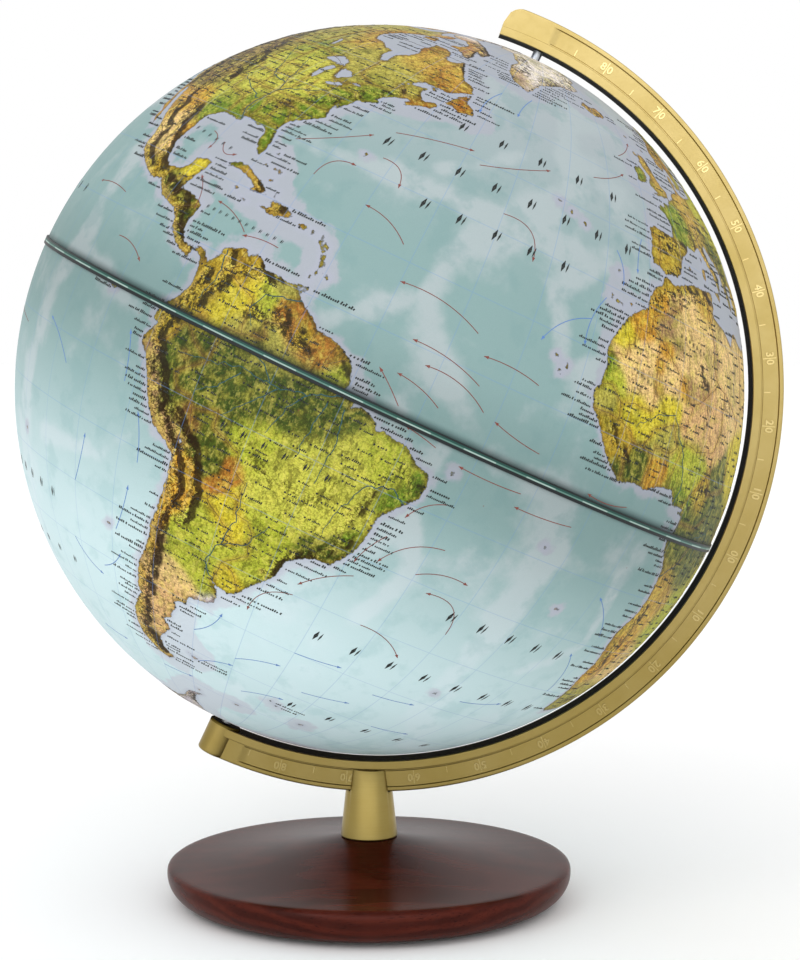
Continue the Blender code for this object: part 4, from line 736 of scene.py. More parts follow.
COLD_CURRENTS = [
    ((-50, 56), (-52, 49), 0.08), ((-42, 58), (-44, 52), 0.05), ((-19, 28), (-21, 20), 0.1),
    ((-21, 24), (-28, 18), 0.12), ((-18, 36), (-16, 31), -0.1), ((-12, 40), (-13, 34), 0.05),
    ((-82, -12), (-84, -5), 0.05), ((-76, -22), (-78, -15), 0.05), ((-79, -34), (-77, -26), 0.04),
    ((-83, -42), (-78, -38), 0.1), ((-92, -40), (-84, -44), 0.1), ((-90, -30), (-88, -22), 0.04),
    ((-60, -45), (-55, -39), 0.1), ((-58, -52), (-50, -49), -0.06), ((-50, -47), (-41, -44), -0.05),
    ((-46, -55), (-36, -52), -0.05), ((-34, -48), (-24, -46), 0.02), ((-40, -40), (-31, -39), 0.02),
    ((-22, -42), (-13, -41), 0.02), ((-14, -50), (-4, -49), 0.02), ((-6, -37), (3, -35), 0.04),
    ((10, -30), (5, -22), 0.08), ((8, -18), (1, -12), 0.06), ((-70, -59), (-60, -58), 0.03),
    ((-95, -58), (-84, -58), 0.03), ((20, -46), (35, -45), 0.02), ((70, -45), (85, -45), 0.02),
    ((110, -48), (125, -49), 0.02), ((110, -30), (108, -22), 0.05), ((160, 50), (150, 44), 0.08),
    ((-130, 44), (-124, 34), 0.08), ((-150, 50), (-138, 50), -0.04), ((-96, -14), (-104, -9), 0.06),
]
# Wide-set names of oceans and countries: (first mark, last mark, how many, height in millimetres)
WIDE_NAMES = [
    ((-53, 44.5), (-19, 45), 5, 5), ((-63, 36), (-15.5, 37), 8, 5), ((-52, 29), (-27.5, 29.5), 5, 5),
    ((-21, -23), (2.5, -23), 5, 5), ((-38, -35), (11.5, -34.5), 8, 5),
    ((-33.5, -52.5), (7.5, -51.5), 5, 4.6), ((-119.5, -34), (-98.5, -34.5), 5, 4.4),
    ((-64, -11), (-47.5, -11.5), 6, 3.2), ((-68, -27), (-67, -45), 9, 1.5),
    ((-82, 15.2), (-68, 15), 12, 1.6), ((-96, 25.5), (-86, 24.5), 6, 1.8), ((-112, 40), (-84, 39), 12, 2.4),
    ((-120, 55), (-85, 54), 6, 2.6), ((-108, 28), (-99, 20), 6, 1.8), ((-68, 8), (-62, 7), 9, 1.4),
    ((-1, 28), (6, 27), 7, 1.8), ((-3, 18), (1, 19), 4, 1.8), ((-11, 20), (-7, 19), 6, 1.5),
    ((60, -20), (90, -20), 6, 3.8), ((150, 20), (190, 20), 7, 3.8), ((80, 60), (120, 62), 6, 3),
    ((95, 35), (115, 34), 5, 3), ((125, -25), (145, -25), 9, 2.4), ((-150, 10), (-115, 10), 7, 3.8),
    ((-150, 35), (-125, 35), 7, 3.8), ((-140, -45), (-95, -45), 7, 3.4), ((16, -2), (27, -3), 5, 2),
]


# ---------------------------------------------------------------- mesh tools


def linked(name, data):
    obj = bpy.data.objects.new(name, data)
    bpy.context.scene.collection.objects.link(obj)
    return obj


def add_object(name, mesh, body, slot, material, *replaced):
    mesh.materials.append(material)
    obj = linked(name, mesh)
    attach(obj, body)
    if replaced:
        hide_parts(*replaced)
    return obj


def grid_mesh(name, rings, closed_section):
    """A mesh of rings of points, shaped (rings, points, 3). The last ring may join the first."""
    count, around = rings.shape[:2]
    mesh = bpy.data.meshes.new(name)
    index = np.arange(count * around).reshape(count, around)
    below = np.roll(index, -1, axis=0) if closed_section else index[1:]
    above = index if closed_section else index[:-1]
    quads = np.stack(
        [above, below, np.roll(below, -1, axis=1), np.roll(above, -1, axis=1)], axis=-1
    ).reshape(-1, 4)
    fill_mesh(mesh, rings.reshape(-1, 3), quads)
    return mesh


def fill_mesh(mesh, points, quads):
    mesh.vertices.add(len(points))
    mesh.vertices.foreach_set("co", np.ascontiguousarray(points, dtype=np.float32).ravel())
    mesh.loops.add(quads.size)
    mesh.loops.foreach_set("vertex_index", np.ascontiguousarray(quads, dtype=np.int32).ravel())
    mesh.polygons.add(len(quads))
    mesh.polygons.foreach_set("loop_start", np.arange(0, quads.size, 4, dtype=np.int32))
    mesh.polygons.foreach_set("use_smooth", np.ones(len(quads), dtype=bool))
    mesh.update(calc_edges=True)
    mesh.validate()


def placed(points, matrix):
    """Points (n, 3) of a local frame, in the row frame."""
    matrix = np.array(matrix)
    return points @ matrix[:3, :3].T + matrix[:3, 3]


def filleted(corners, closed=True):
    """Outline with rounded corners. Each corner is (x, z) or (x, z, radius)."""
    outline = []
    count = len(corners)
    for i, corner in enumerate(corners):
        here = Vector(corner[:2])
        radius = corner[2] if len(corner) > 2 else 0
        if not radius or (not closed and i in (0, count - 1)):
            outline.append(tuple(here))
            continue
        before = (Vector(corners[i - 1][:2]) - here).normalized()
        after = (Vector(corners[(i + 1) % count][:2]) - here).normalized()
        half = before.angle(after) / 2
        reach = radius / math.tan(half)
        centre = here + (before + after).normalized() * radius / math.sin(half)
        start, end = here + before * reach - centre, here + after * reach - centre
        turn = start.angle_signed(end)
        outline.append(tuple(here + before * reach * 1.6))
        for step in range(FILLET_STEPS + 1):
            point = start.copy()
            point.rotate(Matrix.Rotation(-turn * step / FILLET_STEPS, 2))
            outline.append(tuple(centre + point))
        outline.append(tuple(here + after * reach * 1.6))
    return outline


@contextlib.contextmanager
def editing(mesh):
    """The mesh as a bmesh, written back afterwards with its faces turned outwards."""
    bm = bmesh.new()
    bm.from_mesh(mesh)
    yield bm
    bmesh.ops.recalc_face_normals(bm, faces=bm.faces)
    bm.to_mesh(mesh)
    bm.free()


def close_ends(bm):
    bmesh.ops.holes_fill(bm, edges=[edge for edge in bm.edges if edge.is_boundary])


def lathe(name, outline, steps, matrix=Matrix.Identity(4), closed=True):
    """A solid turned about Z of its own frame. The outline runs down its outer side."""
    profile = np.array(outline)
    turn = np.linspace(0, 2 * math.pi, steps, endpoint=False)
    rings = np.empty((len(profile), steps, 3))
    rings[..., 0] = profile[:, :1] * np.cos(turn)
    rings[..., 1] = profile[:, :1] * np.sin(turn)
    rings[..., 2] = profile[:, 1:]
    mesh = grid_mesh(name, placed(rings.reshape(-1, 3), matrix).reshape(rings.shape), closed)
    with editing(mesh) as bm:
        bmesh.ops.remove_doubles(bm, verts=bm.verts, dist=0.001 * MM)
    mesh.set_sharp_from_angle(angle=math.radians(40))
    return mesh


def turned(name, outline, steps, body, slot, material, node, matrix=Matrix.Identity(4), closed=True):
    """A turned piece with rounded edges, in place of one CAD node."""
    mesh = lathe(name, filleted(outline, closed), steps, matrix, closed)
    return add_object(name, mesh, body, slot, material, node)


# ---------------------------------------------------------------- material tools


class Graph:
    """Short calls for one material's nodes. A value is a number, a colour or another node's output."""

    def __init__(self, name):
        self.material = bpy.data.materials.new(name)
        self.material.use_nodes = True
        self.tree = self.material.node_tree
        self.shader = self.tree.nodes["Principled BSDF"]

    def feed(self, value, socket):
        if isinstance(value, bpy.types.NodeSocket):
            self.tree.links.new(value, socket)
        else:
            socket.default_value = value

    def surface(self, **values):
        for name, value in values.items():
            self.feed(value, self.shader.inputs[name.replace("_", " ")])

    def node(self, kind, inputs, **settings):
        made = self.tree.nodes.new("ShaderNode" + kind)
        for key, value in settings.items():
            setattr(made, key, value)
        for key, value in inputs.items():
            self.feed(value, made.inputs[key])
        return made

    def math(self, operation, *values):
        return self.node("Math", dict(enumerate(values)), operation=operation).outputs[0]

    def times(self, a, b):
        return self.math("MULTIPLY", a, b)

    def scaled(self, value, factor, offset):
        return self.math("MULTIPLY_ADD", value, factor, offset)

    def fade(self, value, start, end):
        """0 at start and 1 at end, smooth between them."""
        inputs = {"Value": value, "From Min": start, "From Max": end}
        return self.node("MapRange", inputs, interpolation_type="SMOOTHSTEP").outputs["Result"]

    def mix(self, amount, a, b, blend="MIX"):
        inputs = {0: amount, 6: a, 7: b}
        return self.node("Mix", inputs, data_type="RGBA", blend_type=blend).outputs[2]

    def tinted(self, colour, mask, share, other):
        """The colour, and where the mask is 1 that share of the other one."""
        return self.mix(self.times(mask, share), colour, other)

    def noise(self, vector, scale, detail=3, roughness=0.55, distortion=0.0):
        inputs = {"Vector": vector, "Scale": scale, "Detail": detail, "Roughness": roughness}
        inputs["Distortion"] = distortion
        return self.node("TexNoise", inputs).outputs[0]

    def shifted(self, vector, offset):
        return self.node("VectorMath", {0: vector, 1: offset}, operation="ADD").outputs[0]

    def stretched(self, vector, scale):
        return self.node("VectorMath", {0: vector, 1: scale}, operation="MULTIPLY").outputs[0]

    def split(self, vector):
        return self.node("SeparateXYZ", {0: vector}).outputs

    def attribute(self, name, output="Fac"):
        return self.node("Attribute", {}, attribute_name=name).outputs[output]

    def local(self, matrix, scale=1.0):
        """Each point in another frame: the position on the piece, which turns with it."""
        place = self.node("TexCoord", {}).outputs["Object"]
        inputs = {"Vector": place, "Location": matrix.translation, "Scale": (scale,) * 3}
        inputs["Rotation"] = matrix.to_euler()
        return self.node("Mapping", inputs, vector_type="TEXTURE").outputs[0]

    def bump(self, height, strength, distance):
        inputs = {"Height": height, "Strength": strength, "Distance": distance}
        self.feed(self.node("Bump", inputs).outputs[0], self.shader.inputs["Normal"])


# ---------------------------------------------------------------- the map's shape


def sphere_points(lonlat):
    """Unit vectors in the globe's own frame, from (longitude, latitude) in degrees."""
    lon, lat = np.radians(np.asarray(lonlat, dtype=float)).T
    return np.stack([np.cos(lat) * np.cos(lon), np.cos(lat) * np.sin(lon), np.sin(lat)], axis=-1)


def pieces_of(line, closed, longest=2.0):
    """Ends (starts, ends) of the short straight pieces of a line on the map."""
    line = np.array(line + line[:1] if closed else line, dtype=float)
    dense = [line[:1]]
    for a, b in zip(line, line[1:]):
        if abs(a[0]) == 180 and abs(b[0]) == 180:
            continue  # Antarctica's outline closes along the date line and the pole
        count = max(1, math.ceil(np.abs(b - a).max() / longest))
        steps = np.arange(1, count + 1)[:, None] / count
        dense.append(a + (b - a) * steps)
    points = sphere_points(np.concatenate(dense))
    return points[:-1], points[1:]


def distance_to(points, starts, ends, chunk=4000):
    """Distance from each point to the nearest piece, as an angle on the unit ball."""
    span = ends - starts
    length2 = np.maximum((span * span).sum(1), 1e-12)
    offset = (starts * span).sum(1)
    nearest = np.empty(len(points))
    for first in range(0, len(points), chunk):
        part = points[first : first + chunk]
        along = part @ span.T - offset
        share = np.clip(along / length2, 0, 1)
        gap2 = 2 - 2 * part @ starts.T - 2 * share * along + share * share * length2
        nearest[first : first + chunk] = np.sqrt(np.maximum(gap2.min(1), 0))
    return nearest


def inside(lonlat, outline):
    """Which map positions an outline holds, counted by the sides that lie to their east."""
    lon, lat = lonlat[:, 0], lonlat[:, 1]
    held = np.zeros(len(lonlat), dtype=bool)
    for (lon_a, lat_a), (lon_b, lat_b) in zip(outline, outline[1:] + outline[:1]):
        if lat_a == lat_b:
            continue
        crosses = (lat_a > lat) != (lat_b > lat)
        held ^= crosses & (lon < lon_a + (lat - lat_a) * (lon_b - lon_a) / (lat_b - lat_a))
    return held


def islet_outline(lon, lat, radius=0.35):
    turn = np.linspace(0, 2 * math.pi, 7)[:-1]
    wide = radius / math.cos(math.radians(lat))
    return [(lon + wide * math.cos(t), lat + radius * math.sin(t)) for t in turn]


LANDS = [AMERICAS, OLD_WORLD, ANTARCTICA, AUSTRALIA, GREENLAND, *ISLANDS]
LANDS += [islet_outline(lon, lat) for lon, lat in ISLETS]


def all_pieces(lines, closed):
    made = [pieces_of(line, closed) for line in lines]
    return np.concatenate([a for a, b in made]), np.concatenate([b for a, b in made])


def coast_distance(lonlat, points):
    """Millimetres inland from the coast, negative at sea and on lakes."""
    wrapped = lonlat + (360, 0)
    land = np.zeros(len(lonlat), dtype=bool)
    for outline in LANDS:
        land |= inside(lonlat, outline)
    land |= inside(wrapped, OLD_WORLD)
    for outline in LAKES:
        land &= ~inside(lonlat, outline)
    away = distance_to(points, *all_pieces(LANDS + LAKES, True)) * BALL_R / MM
    return np.where(land, away, -away)


def heights(points):
    """0 on the plains to 1 in the highest mountains, before the ridges are carved."""
    height = np.zeros(len(points))
    bends = [noise.noise_vector(Vector(point) * WOBBLE_SCALE) for point in points]
    points = points + CREST_WOBBLE * np.array(bends)
    points /= np.linalg.norm(points, axis=1)[:, None]
    for top, width, crest in MOUNTAINS:
        height = np.maximum(height, top * line_nearness(points, crest, width))
    return height


def line_nearness(points, line, width):
    """1 on the line, falling away on both sides over the width in degrees."""
    away = np.degrees(distance_to(points, *pieces_of(line, False)))
    return np.exp(-((away / width) ** 2))


def nearness(points, lon, lat, reach):
    away = np.degrees(np.linalg.norm(points - sphere_points([(lon, lat)]), axis=1))
    return np.exp(-((away / reach) ** 2))


def shelf_width(points):
    width = np.full(len(points), 3.0)
    for lon, lat, reach, extra in SHELVES:
        width += extra * nearness(points, lon, lat, reach)
    return width


def ridge_nearness(points):
    """1 on an ocean ridge, 0 over the basins."""
    near = np.zeros(len(points))
    for width, crest in RIDGES:
        near = np.maximum(near, line_nearness(points, crest, width))
    return near


def land_tints(points):
    total = np.full((len(points), 1), 1e-9)
    tint = total * np.array(LAND_COLOURS["olive"][0])
    for colour, spots in LAND_COLOURS.values():
        for lon, lat, reach in spots:
            weight = nearness(points, lon, lat, reach)[:, None] ** 2
            tint += weight * np.array(colour)
            total += weight
    return tint / total


def carved(points, height):
    """Sharp ridges and valleys where there is height, 0 to 1."""
    rough = np.zeros(len(points))
    for i in np.flatnonzero(height > HILLS_FROM):
        spot = Vector(points[i]) * RIDGE_SCALE
        rough[i] = noise.ridged_multi_fractal(spot, 0.9, 2.1, 4, 1.0, 2.0)
    return np.clip(rough / 2.6, 0, 1)


def relief(points, coast, height):
    """Metres that the printed surface stands above the sea."""
    ashore = np.clip(coast / 0.6, 0, 1)
    ridges = carved(points, height * ashore)
    return ashore * (0.1 + 0.9 * height * (0.2 + 0.8 * ridges)) * RELIEF


def map_rings(north):
    """Map positions in rows round the outer surface, from the pole's hole to the seam."""
    latitudes = np.linspace(TOP_LATITUDE, SEAM_LATITUDE, LAT_STEPS + 1)
    longitudes = np.linspace(-180, 180, LON_STEPS, endpoint=False)
    return np.stack(np.meshgrid(longitudes, latitudes if north else -latitudes), axis=-1)


def printed_slope(raised, north):
    """How steeply the relief falls away from a light in the north-west, for the printed shading."""
    raised = raised / RELIEF
    east = (np.roll(raised, -1, axis=1) - np.roll(raised, 1, axis=1)) / 2
    down = np.gradient(raised, axis=0) * (1 if north else -1)
    return down.ravel() * 0.5 - east.ravel()


def make_hemisphere(node, north, material):
    """Half of the ball: a fine outer surface with relief, a coarser inner one, and its map fields."""
    lonlat = map_rings(north)
    flat = lonlat.reshape(-1, 2)
    points = sphere_points(flat)
    coast = coast_distance(flat, points)
    height = heights(points)
    raised = relief(points, coast, height)
    grid = lonlat.shape[:2]
    SURFACE.grids[north] = {"coast": coast.reshape(grid), "raised": raised.reshape(grid)}
    outer = (points * (SEA_R + raised)[:, None]).reshape(*grid, 3)
    inner_rows = np.linspace(LAT_STEPS, 0, INNER_STEPS).round().astype(int)
    inner = sphere_points(lonlat[inner_rows].reshape(-1, 2)) * (BALL_R - WALL)
    inner = inner.reshape(INNER_STEPS, LON_STEPS, 3)
    rings = np.concatenate([outer, inner])
    rings = placed(rings.reshape(-1, 3), GEO).reshape(rings.shape)
    mesh = grid_mesh(node + "_fine", rings, closed_section=True)
    if not north:
        mesh.flip_normals()
    edge = len(mesh.vertices) - len(points)
    fields = {
        "coast": coast,
        "height": height,
        "shelf": coast + shelf_width(points),
        "ridge": ridge_nearness(points),
        "slope": printed_slope(raised.reshape(grid), north),
        "border": distance_to(points, *all_pieces(BORDERS, False)) * BALL_R / MM,
    }
    for field, values in fields.items():
        made = mesh.attributes.new(field, "FLOAT", "POINT")
        made.data.foreach_set("value", np.pad(values, (0, edge)).astype(np.float32))
    tints = mesh.attributes.new("tint", "FLOAT_COLOR", "POINT")
    tints.data.foreach_set("color", np.pad(land_tints(points), ((0, edge), (0, 0))).ravel())
    mesh.set_sharp_from_angle(angle=math.radians(60))
    return add_object(node + "_fine", mesh, "ball", "map_print", material, node)


# ---------------------------------------------------------------- print on the map


class Surface:
    """The two hemispheres' heights and coast distances, read at any map position."""

    def __init__(self):
        self.grids = {}

    def read(self, field, lonlat):
        lonlat = np.asarray(lonlat, dtype=float).reshape(-1, 2)
        values = np.empty(len(lonlat))
        for north in (True, False):
            chosen = (lonlat[:, 1] >= 0) == north
            grid = self.grids[north][field]
            down = TOP_LATITUDE - np.abs(lonlat[chosen, 1])
            row = down / (TOP_LATITUDE - SEAM_LATITUDE) * LAT_STEPS
            row = np.clip(row, 0, LAT_STEPS - 1e-6)
            column = (lonlat[chosen, 0] + 180) / 360 * LON_STEPS % LON_STEPS
            r, c = row.astype(int), column.astype(int) % LON_STEPS
            r_share, c_share = row - r, column - column.astype(int)
            east = (c + 1) % LON_STEPS
            upper = grid[r, c] * (1 - c_share) + grid[r, east] * c_share
            lower = grid[r + 1, c] * (1 - c_share) + grid[r + 1, east] * c_share
            values[chosen] = upper * (1 - r_share) + lower * r_share
        return values


SURFACE = Surface()


class Print:
    """Marks in one ink, as thin closed strips on the ball."""

    def __init__(self):
        self.strips = []

    def strip(self, line, halves):
        """A strip along map positions, with its half width in millimetres at each."""
        points = sphere_points(line)
        ahead = np.gradient(points, axis=0)
        side = np.cross(ahead, points)
        side /= np.linalg.norm(side, axis=1)[:, None]
        half = np.array(halves)[:, None] * MM / BALL_R
        self.strips.append(np.stack([points - side * half, points + side * half], axis=1))

    def build(self, name, material):
        quads, first = [], 0
        for strip in self.strips:
            count = len(strip)
            corner = first + np.arange(count * 4).reshape(count, 4)
            for i in range(4):
                j = (i + 1) % 4
                sides = [corner[:-1, i], corner[:-1, j], corner[1:, j], corner[1:, i]]
                quads.append(np.stack(sides, axis=-1))
            quads += [corner[:1, ::-1], corner[-1:]]
            first += count * 4
        edges = np.concatenate(self.strips)
        sides = edges.reshape(-1, 3) / np.linalg.norm(edges.reshape(-1, 3), axis=1)[:, None]
        lonlat = np.degrees(np.stack([np.arctan2(sides[:, 1], sides[:, 0]), np.arcsin(sides[:, 2])], -1))
        lonlat[:, 1] = np.clip(lonlat[:, 1], -88, 88)
        height = (SEA_R + SURFACE.read("raised", lonlat)).reshape(-1, 2, 1)
        sides = sides.reshape(-1, 2, 3)
        top, bottom = sides * (height + INK_PROUD), sides * (height - INK_SUNK)
        points = np.stack([top[:, 0], top[:, 1], bottom[:, 1], bottom[:, 0]], axis=1)
        mesh = bpy.data.meshes.new(name)
        fill_mesh(mesh, placed(points.reshape(-1, 3), GEO), np.concatenate(quads))
        mesh.shade_flat()
        return add_object(name, mesh, "ball", "map_print", material)


def along(line, step=0.6):
    """Positions every step degrees along a line on the map."""
    dense = [line[0]]
    for (lon_a, lat_a), (lon_b, lat_b) in zip(line, line[1:]):
        count = max(1, math.ceil(math.hypot(lon_b - lon_a, lat_b - lat_a) / step))
        for i in range(1, count + 1):
            dense.append((lon_a + (lon_b - lon_a) * i / count, lat_a + (lat_b - lat_a) * i / count))
    return dense


def wandering(line, reach, step=0.6):
    """The line with small bends, as a river or an old frontier has."""
    dense = along(line, step)
    ends = (0, len(dense) - 1)
    path = []
    for i, (lon, lat) in enumerate(dense):
        calm = 0 if i in ends else reach
        spot = Vector((lon, lat, 0)) * 0.9
        path.append((lon + calm * noise.noise(spot), lat + calm * noise.noise(spot + Vector((9, 4, 2)))))
    return path


def eastward(lon, lat, distance):
    """The longitude that lies so many millimetres east on the same parallel."""
    return lon + distance / (MM_PER_DEGREE * math.cos(math.radians(lat)))


def print_arrow(ink, start, end, bow):
    """A thin arrow from start to end, bowed to one side, with a solid head."""
    (lon_a, lat_a), (lon_b, lat_b) = start, end
    width = math.cos(math.radians((lat_a + lat_b) / 2))
    line = []
    for i in range(ARROW_STEPS + 1):
        share = i / ARROW_STEPS
        out = 4 * bow * share * (1 - share)
        lon = lon_a + (lon_b - lon_a) * share + out * (lat_b - lat_a) / width
        line.append((lon, lat_a + (lat_b - lat_a) * share - out * (lon_b - lon_a) * width))
    ink.strip(line, [ARROW_HALF] * len(line))
    tip, before = np.array(line[-1]), np.array(line[-2])
    heading = (tip - before) * (width, 1)
    heading /= np.linalg.norm(heading)
    back = tip - heading * ARROW_HEAD / MM_PER_DEGREE / (width, 1)
    ink.strip([tuple(back), tuple(tip)], [ARROW_HEAD * 0.36, 0.02])


def print_dot(ink, lon, lat, radius):
    """A round dot, as a strip that widens and narrows."""
    line = [(eastward(lon, lat, radius * x), lat) for x in (-1, -0.6, 0, 0.6, 1)]
    ink.strip(line, [radius * 0.2, radius * 0.8, radius, radius * 0.8, radius * 0.2])


def print_line(ink, lon, lat, size, strokes, to_west=False):
    """A row of short upright strokes that stands for a line of small print."""
    gaps = [1.6 if i and RNG.random() < 0.14 else 1 for i in range(strokes)]
    length = sum(gaps) * size * STROKE_PITCH
    place = -length if to_west else 0
    for gap in gaps:
        place += gap * size * STROKE_PITCH
        middle = eastward(lon, lat, place)
        tall = size * RNG.choice((0.34, 0.34, 0.34, 0.5, 0.6))
        foot = lat - 0.25 * size / MM_PER_DEGREE
        slant = 0.08 * size / MM_PER_DEGREE
        ink.strip([(middle - slant, foot), (middle + slant, foot + tall / MM_PER_DEGREE)],
                  [size * STROKE_HALF] * 2)


class Layout:
    """The rows of print so far, so that no two lie on each other."""

    def __init__(self):
        self.rows = []

    def free(self, lon, lat, length, size, to_west=False):
        """Whether a row fits there. If it does, its place is taken."""
        west = eastward(lon, lat, -length) if to_west else lon
        east = lon if to_west else eastward(lon, lat, length)
        tall = size * 0.95 / MM_PER_DEGREE
        for row_west, row_east, row_lat in self.rows:
            if abs(row_lat - lat) < tall and west < row_east + 0.5 and row_west < east + 0.5:
                return False
        self.rows.append((west, east, lat))
        return True


LAYOUT = Layout()


def print_coast_names(ink):
    """Rows of small print that run out to sea from the coasts, along the parallels."""
    for outline in (AMERICAS, OLD_WORLD, AUSTRALIA, GREENLAND, *ISLANDS):
        for lon, lat in along(outline, COAST_SPACING):
            if abs(lat) > 68 or RNG.random() < 0.25:
                continue
            size = RNG.choice((1.6, 1.7, 1.9, 2.1))
            strokes = RNG.randint(6, 17)
            length = strokes * size * STROKE_PITCH * 1.1
            east = (eastward(lon, lat, 2), lat), (eastward(lon, lat, 5), lat)
            west = (eastward(lon, lat, -2), lat), (eastward(lon, lat, -5), lat)
            for side, spots in ((1, east), (-1, west)):
                if SURFACE.read("coast", spots).max() > -1:
                    continue
                start = eastward(lon, lat, 1.3 * side)
                if LAYOUT.free(start, lat, length, size, side < 0):
                    print_line(ink, start, lat, size, strokes, side < 0)
                    if RNG.random() < 0.5:
                        print_dot(ink, eastward(lon, lat, -0.5 * side), lat, 0.42)
                break


def print_town_names(ink):
    """Dots with a short row of print beside them, all over the land."""
    for _ in range(TOWN_TRIES):
        lon = RNG.uniform(-180, 180)
        lat = math.degrees(math.asin(RNG.uniform(-0.83, 0.92)))
        if SURFACE.read("coast", (lon, lat))[0] < 1.2:
            continue
        if inside(np.array([(lon, lat)]), GREENLAND)[0]:
            continue
        size = RNG.choice((1.4, 1.5, 1.7))
        strokes = RNG.randint(4, 9)
        length = strokes * size * STROKE_PITCH + 1
        if SURFACE.read("coast", (eastward(lon, lat, length), lat))[0] < 0.4:
            continue
        if not LAYOUT.free(lon, lat, length, size * 1.25):
            continue
        print_dot(ink, lon, lat, 0.4)
        print_line(ink, eastward(lon, lat, 0.9), lat, size, strokes)


def print_wide_mark(ink, lon, lat, tall):
    """A thick and a thin slanted stroke, side by side."""
    for aside, share, half in ((-0.16, 0.5, 0.15), (0.2, 0.42, 0.07)):
        place = eastward(lon, lat, aside * tall)
        reach = share * tall / MM_PER_DEGREE
        ink.strip([(place - reach * 0.2, lat - reach), (place, lat), (place + reach * 0.2, lat + reach)],
                  [0.05, tall * half, 0.05])


def print_wide_names(ink):
    for (lon_a, lat_a), (lon_b, lat_b), count, tall in WIDE_NAMES:
        for i in range(count):
            share = i / (count - 1)
            lon, lat = lon_a + (lon_b - lon_a) * share, lat_a + (lat_b - lat_a) * share
            LAYOUT.free(eastward(lon, lat, -tall / 2), lat, tall, tall)
            print_wide_mark(ink, lon, lat, tall)


def make_print(inks):
    """Everything printed over the tints, as one piece for each ink."""
    marks = {name: Print() for name in inks}
    print_wide_names(marks["black"])
    for colour, currents in (("red", WARM_CURRENTS), ("blue", COLD_CURRENTS)):
        for start, end, bow in currents:
            print_arrow(marks[colour], start, end, bow)
    for river in RIVERS:
        line = wandering(river, 0.5)
        marks["river"].strip(line, list(np.linspace(0.22, 0.1, len(line))))
    for border in BORDERS:
        line = wandering(border, 0.25)
        marks["border"].strip(line, [0.075] * len(line))
    print_coast_names(marks["black"])
    print_town_names(marks["black"])
    for name, material in inks.items():
        marks[name].build("map_print_" + name, material)


# ---------------------------------------------------------------- materials


def printed_map():
    """Sea and land tints, a dark shore, the graticule, and painted shade on both sides of the equator."""
    graph = Graph("printed_map")
    spot = graph.node("VectorMath", {0: graph.local(GEO, BALL_R)}, operation="NORMALIZE").outputs[0]
    x, y, z = graph.split(spot)
    latitude = graph.times(graph.math("ARCSINE", z), math.degrees(1))
    longitude = graph.times(graph.math("ARCTAN2", y, x), math.degrees(1))
    across = graph.math("SQRT", graph.scaled(graph.times(z, z), -1, 1))
    coast = graph.attribute("coast")
    fine = graph.noise(spot, 90, 4, 0.6)
    ragged = graph.scaled(graph.math("SUBTRACT", fine, 0.5), 2.4, coast)
    land = graph.fade(ragged, -0.05, 0.12)

    colour = graph.mix(land, ocean_colour(graph, spot, z, coast), land_colour(graph, spot, coast))
    shore = graph.math("SUBTRACT", 1, graph.fade(graph.math("ABSOLUTE", ragged), 0.08, 0.3))
    colour = graph.tinted(colour, shore, 0.55, srgb(50, 52, 40))

    meridians = graph.times(graph.math("PINGPONG", longitude, 5), across)
    lines = graph.math("MINIMUM", meridians, graph.math("PINGPONG", latitude, 5))
    lines = graph.fade(graph.times(lines, MM_PER_DEGREE), 0.22, 0.08)
    colour = graph.tinted(colour, lines, 0.3, srgb(92, 132, 186))

    # Painted shade: the map darkens broadly towards the equator, and closely on both sides of the band.
    above = graph.times(latitude, MM_PER_DEGREE)
    wide = graph.times(graph.fade(above, 34, 0), graph.fade(above, -40, 0))
    colour = graph.tinted(colour, wide, 0.22, srgb(40, 60, 54))
    shade = graph.times(graph.fade(above, 4.8, 1.0), graph.fade(above, -2.0, -0.8))
    colour = graph.tinted(colour, shade, 0.72, srgb(18, 38, 36))
    paper = graph.noise(spot, 900, 2, 0.5)
    colour = graph.mix(0.12, colour, graph.times(paper, 1.1), "OVERLAY")
    sheen = graph.scaled(graph.noise(spot, 25, 3), 0.12, 0.42)
    graph.surface(Base_Color=colour, Roughness=sheen, Specular_IOR_Level=0.09)
    grain = graph.scaled(fine, 0.6, graph.times(paper, 0.4))
    graph.bump(grain, 0.3, 0.1 * MM)
    return graph.material


def ocean_colour(graph, spot, north, coast):
    """Grey-teal sea, lighter to the south, with cloudy paler ridges and lavender shelves."""
    southern = graph.fade(north, -0.1, -0.7)
    northern = graph.fade(north, 0.35, 0.95)
    patches = graph.noise(spot, 5, 5, 0.55)
    colour = graph.mix(southern, srgb(125, 151, 150), srgb(192, 215, 218))
    colour = graph.mix(northern, colour, srgb(156, 164, 168))
    pale = graph.mix(southern, srgb(158, 169, 171), srgb(198, 217, 221))
    rough = graph.scaled(graph.math("SUBTRACT", patches, 0.5), 4.0, graph.attribute("ridge"))
    colour = graph.tinted(colour, graph.fade(rough, 0.1, 0.9), 0.9, pale)
    deep = graph.fade(graph.noise(spot, 11, 4, 0.6), 0.5, 0.66)
    colour = graph.tinted(colour, deep, 0.4, graph.mix(southern, srgb(114, 144, 144), srgb(158, 192, 195)))
    frayed = graph.math("SUBTRACT", graph.noise(spot, 30, 4), 0.5)
    uneven = graph.scaled(frayed, 9, graph.attribute("shelf"))
    shelf = graph.mix(southern, srgb(152, 157, 165), srgb(188, 198, 206))
    colour = graph.mix(graph.fade(uneven, -0.5, 2.2), colour, shelf)
    return graph.tinted(colour, graph.fade(coast, -2.6, -0.2), 0.35, srgb(158, 160, 178))


def folded(graph, spot, scale, detail):
    """Noise folded to sharp valleys: 0 along wandering lines, rising to about 0.25 between them."""
    rough = graph.noise(spot, scale, detail, 0.62)
    return graph.math("ABSOLUTE", graph.math("SUBTRACT", rough, 0.5))


